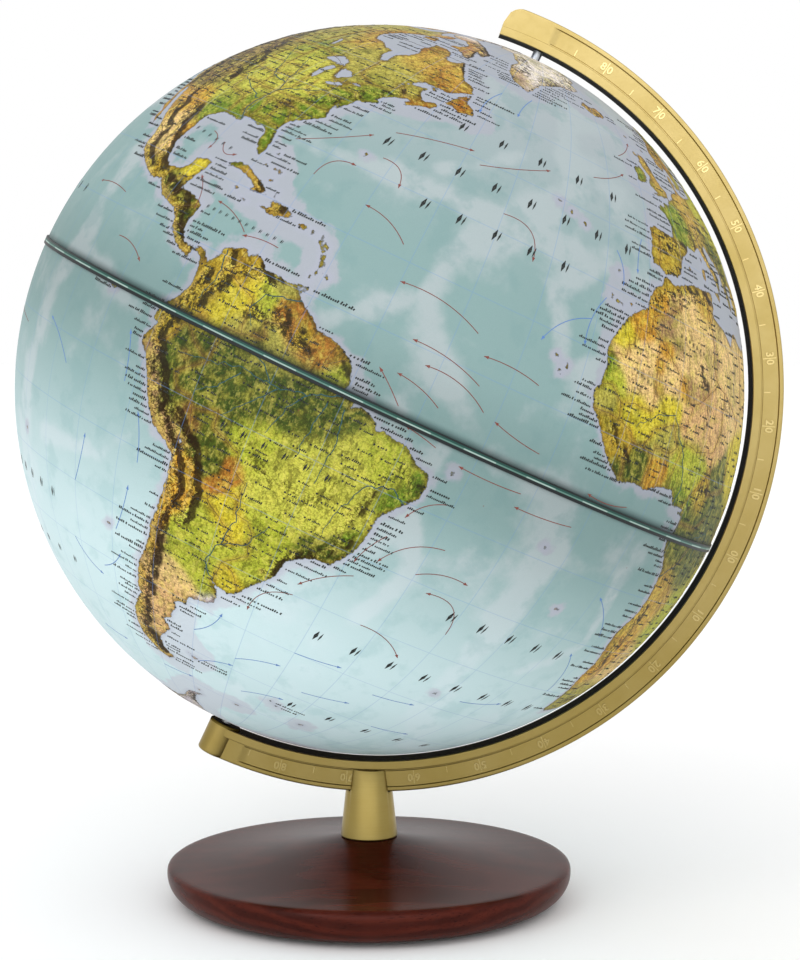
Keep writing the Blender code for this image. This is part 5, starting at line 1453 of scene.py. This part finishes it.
def land_colour(graph, spot, coast):
    """The printed tints, with hill shading, dark hachures and a warm line along each border."""
    height = graph.attribute("height")
    lying = graph.stretched(spot, (1, 1, 0.5))
    mottle = graph.noise(spot, 42, 4, 0.65)
    printed = graph.attribute("tint", "Color")
    colour = graph.tinted(printed, graph.fade(mottle, 0.42, 0.66), 0.4, srgb(206, 194, 78))
    clouds = graph.noise(lying, 16, 4, 0.6)
    colour = graph.tinted(colour, graph.fade(clouds, 0.47, 0.68), 0.5, srgb(96, 104, 34))
    band = graph.fade(graph.attribute("border"), 2.2, 0.3)
    colour = graph.tinted(colour, band, 0.35, srgb(158, 108, 50))
    # A darker band inland along each coast: printed coast tint, and partly painted shade at the raised
    # land's edge.
    colour = graph.tinted(colour, graph.fade(coast, 2.0, 0.2), 0.5, srgb(104, 76, 24))

    toward = graph.shifted(lying, (-0.0012, 0.0026, 0.0026))
    slope = graph.math("SUBTRACT", folded(graph, lying, 24, 5), folded(graph, toward, 24, 5))
    hilly = graph.scaled(graph.fade(height, 0.05, 0.5), 0.45, 0.55)
    shade = graph.times(graph.fade(slope, 0.004, 0.045), hilly)
    light = graph.times(graph.fade(slope, -0.01, -0.06), hilly)
    colour = graph.tinted(colour, shade, 0.85, srgb(44, 40, 14))
    colour = graph.tinted(colour, light, 0.5, srgb(220, 206, 104))

    crags = graph.math("SUBTRACT", graph.noise(spot, 58, 5, 0.7), 0.5)
    rocky = graph.scaled(graph.fade(height, 0.05, 0.45), 0.42, 0.16)
    flank = graph.scaled(crags, rocky, graph.attribute("slope"))
    colour = graph.tinted(colour, graph.fade(flank, 0.035, 0.12), 0.9, srgb(38, 27, 12))
    colour = graph.tinted(colour, graph.fade(flank, -0.06, -0.2), 0.42, srgb(216, 184, 96))
    strokes = graph.fade(folded(graph, graph.stretched(spot, (1, 1, 1.5)), 70, 4), 0.06, 0.015)
    steep = graph.scaled(graph.fade(height, 0.15, 0.5), 0.45, 0.38)
    return graph.tinted(colour, strokes, steep, srgb(42, 28, 12))


def ink(name, colour):
    """Printing ink, worn pale in places."""
    graph = Graph("ink_" + name)
    spot = graph.local(GEO, BALL_R)
    worn = graph.fade(graph.noise(spot, 400, 3), 0.4, 0.8)
    tone = graph.tinted(colour, worn, 0.3, srgb(150, 160, 150))
    dry = graph.scaled(graph.noise(spot, 60), 0.2, 0.45)
    graph.surface(Base_Color=tone, Roughness=dry, Specular_IOR_Level=0.14)
    graph.bump(graph.noise(spot, 900), 0.2, 0.04 * MM)
    return graph.material


def equator_print():
    """Glossy band: a dark green line, a middle line in alternating tones, and a black line."""
    graph = Graph("equator_print")
    spot = graph.local(GEO)
    x, y, z = graph.split(spot)
    longitude = graph.times(graph.math("ARCTAN2", y, x), math.degrees(1))
    above = graph.math("DIVIDE", z, MM)
    dash = graph.fade(graph.math("PINGPONG", longitude, 5), 2.42, 2.58)
    middle = graph.mix(dash, srgb(140, 164, 156), srgb(84, 120, 110))
    colour = graph.mix(graph.fade(above, 0.1, 0.28), middle, srgb(20, 66, 58))
    colour = graph.mix(graph.fade(above, 0.7, 1.0), colour, srgb(10, 26, 26))
    colour = graph.mix(graph.fade(above, -0.24, -0.4), colour, srgb(10, 20, 22))
    cloud = graph.noise(graph.stretched(spot, (300, 300, 900)), 1, 4)
    colour = graph.mix(0.2, colour, graph.times(cloud, 1.2), "OVERLAY")
    graph.surface(Base_Color=colour, Roughness=graph.scaled(cloud, 0.2, 0.4), Specular_IOR_Level=0.35)
    graph.bump(cloud, 0.2, 0.03 * MM)
    return graph.material


def satin_brass(name, bright, dark, grain_matrix, stretch, rough, shade_inside=False):
    """Lacquered brass with a fine brushed or cast grain, cloudy tone, and recesses darkened as painted
    shade.

    The meridian's face towards the ball is darkened to near black, its reflections dimmed, as painted
    shade. Low down, the tone turns darker and browner, as painted shade.
    """
    graph = Graph(name)
    spot = graph.local(grain_matrix)
    brushed = graph.noise(graph.stretched(spot, stretch), 1, 5, 0.6)
    cast = graph.noise(spot, 1400, 3, 0.6)
    cloud = graph.noise(spot, 26, 4, 0.6)
    tone = graph.mix(graph.fade(cloud, 0.3, 0.75), bright, dark)
    tone = graph.tinted(tone, graph.fade(brushed, 0.45, 0.8), 0.35, dark)
    if shade_inside:
        # Painted shade: the face towards the ball is near black, with dimmed reflections, where the ball
        # shades it.
        away = graph.node("VectorMath", {0: graph.local(POLAR)}, operation="LENGTH").outputs["Value"]
        inner = graph.fade(away, FLANGE_INNER_R + 0.25 * MM, FLANGE_INNER_R + 0.05 * MM)
        tone = graph.tinted(tone, inner, 0.98, srgb(26, 31, 32))
        graph.surface(Specular_Tint=graph.mix(inner, srgb(255, 255, 255), srgb(60, 62, 64)))
    # Painted shade: creases and recesses are darkened where little light reaches.
    hollow = graph.node("NewGeometry", {}).outputs["Pointiness"]
    tone = graph.tinted(tone, graph.fade(hollow, 0.49, 0.42), 0.35, srgb(92, 74, 30))
    # Painted shade: the brass turns darker and browner towards the bottom of the stand.
    rise = graph.split(graph.local(Matrix.Identity(4)))[2]
    low = graph.fade(rise, CENTRE.z + 0.13, BASE_HIGH.z)
    tone = graph.tinted(tone, low, 0.68, srgb(110, 94, 42))
    shine = graph.scaled(brushed, 0.16, graph.scaled(cast, 0.1, rough - 0.1))
    graph.surface(Base_Color=tone, Roughness=shine, Metallic=0.95)
    graph.bump(graph.scaled(brushed, 0.5, cast), 0.22, 0.06 * MM)
    return graph.material


def zinc_steel(name, matrix):
    """Zinc plating, drawn along its own Z, with a faint yellow cast in streaks."""
    graph = Graph(name)
    spot = graph.local(matrix)
    flow = graph.noise(graph.stretched(spot, (1800, 1800, 260)), 1, 4)
    cloud = graph.noise(spot, 120, 4, 0.6)
    tone = graph.mix(graph.fade(cloud, 0.35, 0.7), srgb(206, 208, 206), srgb(164, 170, 180))
    tone = graph.tinted(tone, graph.fade(flow, 0.5, 0.8), 0.35, srgb(186, 176, 140))
    graph.surface(Base_Color=tone, Metallic=1.0, Roughness=graph.scaled(flow, 0.25, 0.2))
    graph.bump(flow, 0.25, 0.03 * MM)
    return graph.material


def mahogany():
    """Stained mahogany under lacquer: flat-sawn grain along X, dark pores, a soft wavy figure."""
    graph = Graph("stained_mahogany")
    spot = graph.local(Matrix.Identity(4))
    wave = graph.noise(graph.stretched(spot, (5, 16, 16)), 1, 4, 0.5)
    heart = graph.shifted(spot, (0, 0, 0.11))
    warped = graph.shifted(heart, graph.stretched(wave, (0, 0.034, 0.034)))
    rings = graph.node("TexWave", {"Vector": graph.stretched(warped, (3, 60, 60)), "Scale": 1.0,
                                   "Distortion": 3.0, "Detail": 3.0, "Detail Scale": 1.4},
                       wave_type="RINGS", rings_direction="X").outputs["Fac"]
    fibres = graph.noise(graph.stretched(spot, (26, 700, 700)), 1, 4, 0.6)
    pores = graph.noise(graph.stretched(spot, (70, 2100, 2100)), 1, 2, 0.5)
    figure = graph.noise(graph.stretched(spot, (38, 11, 11)), 1, 3, 0.5, distortion=0.6)
    tone = graph.mix(graph.fade(rings, 0.1, 1.0), srgb(56, 24, 17), srgb(74, 32, 23))
    tone = graph.tinted(tone, graph.fade(fibres, 0.35, 0.7), 0.4, srgb(48, 16, 12))
    tone = graph.tinted(tone, graph.fade(figure, 0.4, 0.75), 0.25, srgb(86, 38, 27))
    specks = graph.fade(pores, 0.6, 0.72)
    tone = graph.tinted(tone, specks, 0.75, srgb(24, 8, 7))
    graph.surface(Base_Color=tone, Roughness=graph.scaled(fibres, 0.16, 0.3),
                  Specular_IOR_Level=0.0, Coat_Weight=0.6, Coat_Roughness=0.24, Coat_IOR=1.25)
    dents = graph.scaled(specks, -0.7, graph.times(fibres, 0.35))
    graph.bump(dents, 0.18, 0.06 * MM)
    return graph.material


def green_felt():
    """Napped felt: fuzz, loose fibres and cloudy patches."""
    graph = Graph("green_felt")
    spot = graph.local(Matrix.Identity(4))
    fuzz = graph.noise(spot, 1500, 5, 0.75, distortion=1.5)
    fibres = graph.noise(graph.stretched(spot, (3200, 700, 3000)), 1, 3, 0.6, distortion=2.0)
    cloud = graph.noise(spot, 70, 4)
    tone = graph.mix(graph.fade(fuzz, 0.3, 0.7), srgb(16, 34, 24), srgb(46, 74, 54))
    tone = graph.tinted(tone, graph.fade(fibres, 0.55, 0.75), 0.5, srgb(92, 118, 92))
    tone = graph.tinted(tone, graph.fade(cloud, 0.4, 0.7), 0.3, srgb(18, 40, 30))
    graph.surface(Base_Color=tone, Roughness=0.95, Sheen_Weight=0.5, Sheen_Roughness=0.5,
                  Specular_IOR_Level=0.2)
    graph.bump(graph.math("ADD", fuzz, fibres), 0.8, 0.25 * MM)
    return graph.material


def moulded_plastic():
    """Off-white moulding with flow marks and specks."""
    graph = Graph("moulded_plastic")
    spot = graph.local(POLAR)
    flow = graph.noise(graph.stretched(spot, (40, 40, 160)), 1, 4)
    grit = graph.noise(spot, 1500, 3)
    tone = graph.mix(graph.fade(flow, 0.35, 0.7), srgb(228, 225, 214), srgb(205, 201, 188))
    tone = graph.tinted(tone, graph.fade(grit, 0.62, 0.75), 0.4, srgb(168, 164, 152))
    graph.surface(Base_Color=tone, Roughness=graph.scaled(grit, 0.2, 0.38))
    graph.bump(grit, 0.3, 0.05 * MM)
    return graph.material


def beech():
    """Plain beech with its grain along the ball's axis and short dark flecks."""
    graph = Graph("beech")
    spot = graph.local(POLAR)
    grain = graph.noise(graph.stretched(spot, (420, 420, 9)), 1, 5, 0.6)
    flecks = graph.noise(graph.stretched(spot, (1500, 1500, 190)), 1, 2)
    tone = graph.mix(graph.fade(grain, 0.3, 0.72), srgb(214, 182, 140), srgb(178, 138, 96))
    tone = graph.tinted(tone, graph.fade(flecks, 0.62, 0.7), 0.7, srgb(126, 86, 54))
    graph.surface(Base_Color=tone, Roughness=graph.scaled(grain, 0.2, 0.55))
    graph.bump(graph.math("ADD", grain, flecks), 0.4, 0.05 * MM)
    return graph.material


def studio_floor():
    graph = Graph("studio_floor")
    spot = graph.node("TexCoord", {}).outputs["Object"]
    tone = graph.mix(graph.noise(spot, 3, 3), (0.93, 0.93, 0.93, 1), (0.95, 0.95, 0.95, 1))
    graph.surface(Base_Color=tone, Roughness=0.7, Specular_IOR_Level=0.2)
    return graph.material


# ---------------------------------------------------------------- equator band


def make_equator_band(material):
    """A fine ring over the seam, with softened edges."""
    low, high = SEA_R - 0.05 * MM, BALL_R + 0.2 * MM
    half = 1.5 * MM
    section = [(high, half, 0.12 * MM), (high, -half, 0.12 * MM), (low, -half), (low, half)]
    return turned("equator_band_fine", section, 720, "ball", "band", material, "equator_band", GEO)


# ---------------------------------------------------------------- meridian


def on_arc(radius, angle, side=0.0):
    """A point of the polar frame: angle counts from the north pole towards the front's right."""
    return radius * math.sin(angle), side, radius * math.cos(angle)


def meridian_section(depth):
    """Half of the T section on the front, from the inner face outwards, then the back half."""
    web, rim = FLANGE_OUTER_R, ARC_OUTER_R
    half, side = FLANGE_HALF, RIM_HALF
    soft = 0.35 * MM
    floor = side - depth
    front = [
        (FLANGE_INNER_R, half, soft),
        (web, half, soft),
        (web, side, 0.2 * MM),
        (PANEL_INNER_R, side, 0.12 * MM),
        (PANEL_INNER_R + 0.35 * MM, floor, 0.12 * MM),
        (PANEL_OUTER_R - 0.35 * MM, floor, 0.12 * MM),
        (PANEL_OUTER_R, side, 0.2 * MM),
        (rim, side, 0.6 * MM),
    ]
    back = [(corner[0], -corner[1], corner[2]) for corner in reversed(front)]
    return filleted(front + back)


def make_meridian(material):
    """The T section swept along the arc, with its barrel, pin hole and bolt hole."""
    rings = []
    for angle in np.append(np.arange(ARC_START, ARC_END, ARC_STEP), ARC_END):
        inward = min(angle - PANEL_START, PANEL_END - angle) / PANEL_RAMP
        section = meridian_section(max(0.004 * MM, PANEL_DEPTH * min(1.0, max(0.0, inward))))
        limit = tip_radius(angle)
        rings.append([on_arc(min(radius, limit), angle, -side) for radius, side in section])
    rings = np.array(rings)
    mesh = grid_mesh("meridian_arc_fine", placed(rings.reshape(-1, 3), POLAR).reshape(rings.shape), False)
    with editing(mesh) as bm:
        bmesh.ops.remove_doubles(bm, verts=bm.verts, dist=0.0005 * MM)
        close_ends(bm)
    barrel = make_barrel()
    arc = add_object("meridian_arc_fine", mesh, "stand", "brass", material, "meridian_arc")
    core = rod(BARREL_R - 1 * MM, BALL_R * 1.3, FLANGE_INNER_R / 2)
    pin_hole = rod(PIN_R + FIT, ARC_OUTER_R - 5.5 * MM, FLANGE_INNER_R - 2 * MM)
    bolt_hole = rod(BOLT_HOLE_R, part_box("tie_bolt")[1].z + FIT, NECK_TOP - 16 * MM)
    cut_away(arc, lathe("barrel_core", core, 64, SOUTH))
    cut_away(arc, lathe("pin_hole", pin_hole, 48, POLAR))
    cut_away(arc, lathe("bolt_hole", bolt_hole, 48))
    arc.data.set_sharp_from_angle(angle=math.radians(35))
    barrel.materials.append(material)
    bm = bmesh.new()
    bm.from_mesh(arc.data)
    bm.from_mesh(barrel)
    bm.to_mesh(arc.data)
    bm.free()
    return arc


def tip_radius(angle):
    """The free end's outer corner is rounded: the farthest radius that is left at an angle."""
    inward = (angle - ARC_START) * ARC_OUTER_R
    if inward >= END_ROUNDING:
        return math.inf
    drop = END_ROUNDING - math.sqrt(max(0.0, END_ROUNDING**2 - (END_ROUNDING - inward) ** 2))
    return ARC_OUTER_R - drop


def rod(radius, top, bottom):
    return [(0, top), (radius, top), (radius, bottom), (0, bottom)]


def make_barrel():
    """The cast barrel on the meridian's end, bored for the sprung pin."""
    top, bottom = BARREL_TOP, ARC_OUTER_R
    outline = [
        (PIN_R + FIT, top),
        (BARREL_R, top, 0.5 * MM),
        (BARREL_R, bottom, 1.15 * MM),
        (BARREL_BORE_R, bottom, 0.25 * MM),
        (BARREL_BORE_R, BARREL_SHOULDER),
        (PIN_R + FIT, BARREL_SHOULDER),
    ]
    return lathe("barrel", filleted(outline), 128, SOUTH)


def cut_away(target, tool_mesh):
    tool = linked(tool_mesh.name, tool_mesh)
    modifier = target.modifiers.new("cut", "BOOLEAN")
    modifier.operation = "DIFFERENCE"
    modifier.solver = "EXACT"
    modifier.object = tool
    bake_modifiers(target)
    bpy.data.objects.remove(tool)


def bake_modifiers(obj):
    mesh = shown_mesh(obj)
    obj.modifiers.clear()
    obj.data = mesh


def shown_mesh(obj):
    """The object as it shows, with modifiers and text turned to faces."""
    bpy.context.view_layer.update()
    shown = obj.evaluated_get(bpy.context.evaluated_depsgraph_get())
    return bpy.data.meshes.new_from_object(shown)


def flat_text(words, height):
    """A mesh of the words, height tall and centred, lying in XY."""
    curve = bpy.data.curves.new("words", "FONT")
    curve.body = words
    curve.size = height / 0.7
    curve.align_x, curve.align_y = "CENTER", "CENTER"
    curve.extrude = NUMERAL_DEPTH
    curve.offset = 0.06 * MM
    curve.bevel_depth = 0.08 * MM
    curve.resolution_u = 3
    obj = linked("words", curve)
    mesh = shown_mesh(obj)
    bpy.data.objects.remove(obj)
    return mesh


def scale_place(angle, front):
    """Where a mark stands on the panel: its own up is outwards, and it faces away from the web."""
    up = Vector(on_arc(1, angle))
    facing = Vector((0, -1 if front else 1, 0))
    right = up.cross(facing)
    turn = Matrix((right, up, facing)).transposed().to_4x4()
    floor = (RIM_HALF - PANEL_DEPTH) * facing
    return POLAR @ Matrix.Translation(Vector(on_arc(NUMERAL_RADIUS, angle)) + floor) @ turn


def make_degree_scale(material):
    """Raised degrees of latitude on both faces: a number every 10 degrees, split by its tick."""
    bm = bmesh.new()
    for front in (True, False):
        for step in range(-1, 36):
            angle = math.radians(5 * step)
            if not PANEL_START < angle < PANEL_END:
                continue
            place = scale_place(angle, front)
            tall = SHORT_TICK if step % 2 else LONG_TICK
            shape = Matrix.Diagonal((TICK_WIDE, tall, 2 * NUMERAL_DEPTH, 1))
            lowered = Matrix.Translation((0, (tall - LONG_TICK) / 2, 0))
            bmesh.ops.create_cube(bm, size=1, matrix=place @ lowered @ shape)
            if step % 2:
                continue
            degrees = abs(90 - 5 * step)
            for digit, side in zip(f"{degrees:02d}", (-1, 1)):
                mesh = flat_text(digit, NUMERAL_TALL)
                mesh.transform(place @ Matrix.Translation((side * NUMERAL_TALL / 2, 0, 0)))
                bm.from_mesh(mesh)
    mesh = bpy.data.meshes.new("degree_scale")
    bm.to_mesh(mesh)
    bm.free()
    return add_object("degree_scale", mesh, "stand", "brass", material)


# ---------------------------------------------------------------- base and neck


def make_base(material):
    """The turned foot: a flat seat, a hollow flare to a crease, a round side and the bolt recess."""
    bottom, seat_z = BASE_LOW.z, BASE_HIGH.z
    centre_x, centre_z = BASE_R - SIDE_R, bottom + SIDE_R
    crease_angle = math.asin((CREASE_Z - centre_z) / SIDE_R)
    crease_r = centre_x + SIDE_R * math.cos(crease_angle)
    flare = []
    for i in range(1, FLARE_STEPS):
        inward = 1 - i / FLARE_STEPS
        radius = SEAT_R + (crease_r - SEAT_R) * (1 - inward)
        flare.append((radius, CREASE_Z + (seat_z - CREASE_Z) * inward**FLARE_POWER))
    side = []
    for i in range(SIDE_STEPS + 1):
        angle = crease_angle + (-math.pi / 2 - crease_angle) * i / SIDE_STEPS
        side.append((centre_x + SIDE_R * math.cos(angle), centre_z + SIDE_R * math.sin(angle)))
    outline = [(BOLT_HOLE_R, seat_z), (SEAT_R, seat_z, 0.3 * MM), *softened(flare + side)]
    outline += [(RECESS_R, bottom, 0.5 * MM), (RECESS_R, bottom + RECESS_DEPTH)]
    outline += [(BOLT_HOLE_R, bottom + RECESS_DEPTH)]
    return turned("base_fine", outline, 288, "stand", "wood", material, "base")


def softened(line, rounds=3):
    """The line with its corners worn off a little, its ends kept."""
    line = np.array(line)
    for _ in range(rounds):
        line[1:-1] = line[1:-1] * 0.5 + (line[:-2] + line[2:]) * 0.25
    return [tuple(point) for point in line]


def make_felt(material):
    top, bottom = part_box("base_felt_pad")[1].z, 0.02 * MM
    outline = [(0, top), (FELT_R, top, 0.3 * MM), (FELT_R, bottom, 0.45 * MM), (0, bottom)]
    return turned("base_felt_fine", outline, 256, "stand", "felt", material, "base_felt_pad", closed=False)


def make_neck(material):
    """A tapered sleeve, hollow at its foot, slotted at the top for the meridian."""
    bottom = NECK_LOW.z
    hollow_top = bottom + NECK_HOLLOW_DEPTH
    outline = [
        (BOLT_HOLE_R + FIT, NECK_TOP),
        (NECK_TOP_R, NECK_TOP),
        (NECK_FOOT_R, bottom + 0.5 * MM, 0.35 * MM),
        (NECK_FOOT_R - 0.25 * MM, bottom, 0.15 * MM),
        (NECK_HOLLOW_R, bottom),
        (NECK_HOLLOW_R, hollow_top),
        (BOLT_HOLE_R + FIT, hollow_top),
    ]
    neck = turned("neck_fine", outline, 192, "stand", "brass", material, "neck")
    for radius, half in ((FLANGE_OUTER_R + FIT, NECK_FOOT_R * 1.2), (ARC_OUTER_R + FIT, RIM_HALF + FIT)):
        cut_away(neck, disc_mesh(radius, half))
    bevel = neck.modifiers.new("edges", "BEVEL")
    bevel.width = 0.25 * MM
    bevel.segments = 2
    bevel.limit_method = "ANGLE"
    bevel.angle_limit = math.radians(40)
    bake_modifiers(neck)
    neck.data.set_sharp_from_angle(angle=math.radians(35))
    return neck


def disc_mesh(radius, half):
    """A disc about the ball's centre, in the meridian's plane, that cuts room for the meridian."""
    lying = Matrix.Translation(CENTRE) @ Matrix.Rotation(math.pi / 2, 4, "X")
    return lathe("disc", rod(radius, half, -half), 512, lying)


# ---------------------------------------------------------------- pivots


def make_north_pin(material):
    root, tip = ARC_OUTER_R - 5.8 * MM, BALL_R - 2.3 * MM
    outline = [(0, root), (PIN_R, root, 0.3 * MM), (PIN_R, tip, 0.7 * MM), (0, tip)]
    return turned("north_pivot_fine", outline, 64, "stand", "steel", material, "north_pivot_pin",
                  POLAR, closed=False)


def make_south_pin(material):
    """The sprung pin: a tapered tip, a collar that stops it in the barrel, and a tail for the spring."""
    tip, collar = BALL_R - 3.7 * MM, BARREL_SHOULDER + FIT
    seat = collar + 1.5 * MM
    tail = seat + 2 * MM
    outline = [(0, tail), (TAIL_R, tail, 0.3 * MM), (TAIL_R, seat), (COLLAR_R, seat, 0.25 * MM),
               (COLLAR_R, collar, 0.25 * MM), (PIN_R, collar), (PIN_R, tip + 1 * MM, 0.2 * MM),
               (1 * MM, tip, 0.4 * MM), (0, tip)]
    return turned("south_pivot_fine", outline, 64, "south_plunger", "steel", material,
                  "south_pivot_pin", SOUTH, closed=False)


def make_plug(material):
    """The screwed plug, with its slot, that closes the barrel."""
    outer = BARREL_BORE_R - FIT
    bottom = ARC_OUTER_R - 0.3 * MM
    top = bottom - 2.2 * MM
    outline = [(0, bottom), (outer, bottom, 0.3 * MM), (outer, top, 0.2 * MM), (0, top)]
    plug = turned("barrel_plug_fine", outline, 96, "stand", "brass", material, "barrel_plug",
                  SOUTH, closed=False)
    slot = bpy.data.meshes.new("slot")
    shape = Matrix.Diagonal((outer * 3, 1.2 * MM, 1.6 * MM, 1))
    with editing(slot) as bm:
        bmesh.ops.create_cube(bm, size=1, matrix=SOUTH @ Matrix.Translation((0, 0, bottom)) @ shape)
    cut_away(plug, slot)
    plug.data.set_sharp_from_angle(angle=math.radians(35))
    return plug


def make_spring(material):
    """A round wire coil in the barrel, round the sprung pin's tail."""
    first, last = BALL_R + 8 * MM, BALL_R + 13.9 * MM
    share = np.linspace(0, 1, SPRING_TURNS * 40 + 1)
    turn = share * SPRING_TURNS * 2 * math.pi
    rise = first + (last - first) * share
    section = np.linspace(0, 2 * math.pi, 12, endpoint=False)
    out = SPRING_R + WIRE_R * np.cos(section)
    rings = np.stack([
        out[None, :] * np.cos(turn)[:, None],
        out[None, :] * np.sin(turn)[:, None],
        rise[:, None] + WIRE_R * np.sin(section)[None, :],
    ], axis=-1)
    mesh = grid_mesh("pivot_spring_fine", placed(rings.reshape(-1, 3), SOUTH).reshape(rings.shape), False)
    with editing(mesh) as bm:
        close_ends(bm)
    spring = add_object("pivot_spring_fine", mesh, "stand", "steel", material, "pivot_spring")
    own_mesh(spring)
    return spring


# ---------------------------------------------------------------- camera, floor and light


def set_camera():
    camera = linked("camera", bpy.data.cameras.new("camera"))
    away = Vector((0, -math.cos(CAMERA_RISE), math.sin(CAMERA_RISE)))
    camera.location = CENTRE + CAMERA_DISTANCE * away
    camera.rotation_euler = (math.pi / 2 - CAMERA_PITCH, 0, -CAMERA_YAW)
    camera.data.lens = CAMERA_LENS
    bpy.context.scene.camera = camera


def set_floor():
    mesh = lathe("floor", [(0, 0), (2, 0), (7.5, 0)], 96, closed=False)
    mesh.materials.append(studio_floor())
    linked("floor", mesh)


def set_world():
    """A white studio, brighter in front, a little above and a little to the left."""
    world = bpy.data.worlds.new("studio")
    world.use_nodes = True
    nodes, links = world.node_tree.nodes, world.node_tree.links
    place = nodes.new("ShaderNodeTexCoord")
    facing = nodes.new("ShaderNodeVectorMath")
    facing.operation = "DOT_PRODUCT"
    links.new(place.outputs["Generated"], facing.inputs[0])
    facing.inputs[1].default_value = Vector((-0.12, -1, 0.35)).normalized()
    glow = nodes.new("ShaderNodeMapRange")
    glow.interpolation_type = "SMOOTHSTEP"
    links.new(facing.outputs["Value"], glow.inputs["Value"])
    for name, value in (("From Min", 0.45), ("From Max", 1.0), ("To Min", 1.0), ("To Max", 1.95)):
        glow.inputs[name].default_value = value
    links.new(glow.outputs["Result"], nodes["Background"].inputs["Strength"])
    nodes["Background"].inputs["Color"].default_value = (1, 1, 1, 1)
    bpy.context.scene.world = world


def add_area(name, place, size, power):
    data = bpy.data.lights.new(name, "AREA")
    data.shape = "DISK"
    data.size = size
    data.energy = power
    lamp = linked(name, data)
    lamp.location = place
    lamp.rotation_euler = (Vector(place) - CENTRE).to_track_quat("Z", "Y").to_euler()


def set_lights():
    bpy.context.scene.view_settings.view_transform = "Standard"
    add_area("key", (-1.0, -1.5, 1.6), 0.7, 4)


# ---------------------------------------------------------------- putting it together


def paint(node, material):
    """A CAD node keeps its shape and gets a finer material."""
    mesh = frame["nodes"][node].data
    mesh.materials.clear()
    mesh.materials.append(material)


def make_ball():
    printed = printed_map()
    make_hemisphere("northern_hemisphere", True, printed)
    make_hemisphere("southern_hemisphere", False, printed)
    make_print({
        "black": ink("black", srgb(24, 25, 28)),
        "border": ink("border", srgb(80, 56, 36)),
        "river": ink("river", srgb(30, 70, 76)),
        "red": ink("red", srgb(118, 56, 50)),
        "blue": ink("blue", srgb(84, 120, 180)),
    })
    make_equator_band(equator_print())


def make_stand():
    cast = satin_brass("cast_brass", srgb(197, 176, 118), srgb(182, 160, 98), POLAR, (300, 300, 300),
                       0.34, shade_inside=True)
    lathed = satin_brass("turned_brass", srgb(204, 184, 120), srgb(180, 156, 90), Matrix.Identity(4),
                         (60, 60, 3000), 0.3)
    # The raised degrees are lighter brass: polished tops, and a painted highlight on their raised strokes.
    raised = satin_brass("polished_brass_and_highlight", srgb(236, 216, 156), srgb(222, 198, 130), POLAR,
                         (300, 300, 300), 0.26)
    make_meridian(cast)
    make_degree_scale(raised)
    make_neck(lathed)
    make_plug(lathed)
    wood, felt = mahogany(), green_felt()
    make_base(wood)
    make_felt(felt)
    steel = zinc_steel("polished_steel", POLAR)
    make_north_pin(steel)
    make_south_pin(steel)
    make_spring(steel)
    upright = zinc_steel("zinc_plate", Matrix.Identity(4))
    for node in ("tie_bolt", "tie_washer", "tie_lock_washer", "neck_locating_pin"):
        paint(node, upright)
    plastic = moulded_plastic()
    for node in ("north_hub", "south_hub", "seam_ring"):
        paint(node, plastic)
    for node in ("north_pivot_cup", "south_pivot_cup"):
        paint(node, lathed)
    paint("axle_dowel", beech())


make_ball()
make_stand()
set_camera()
set_floor()
set_world()
set_lights()
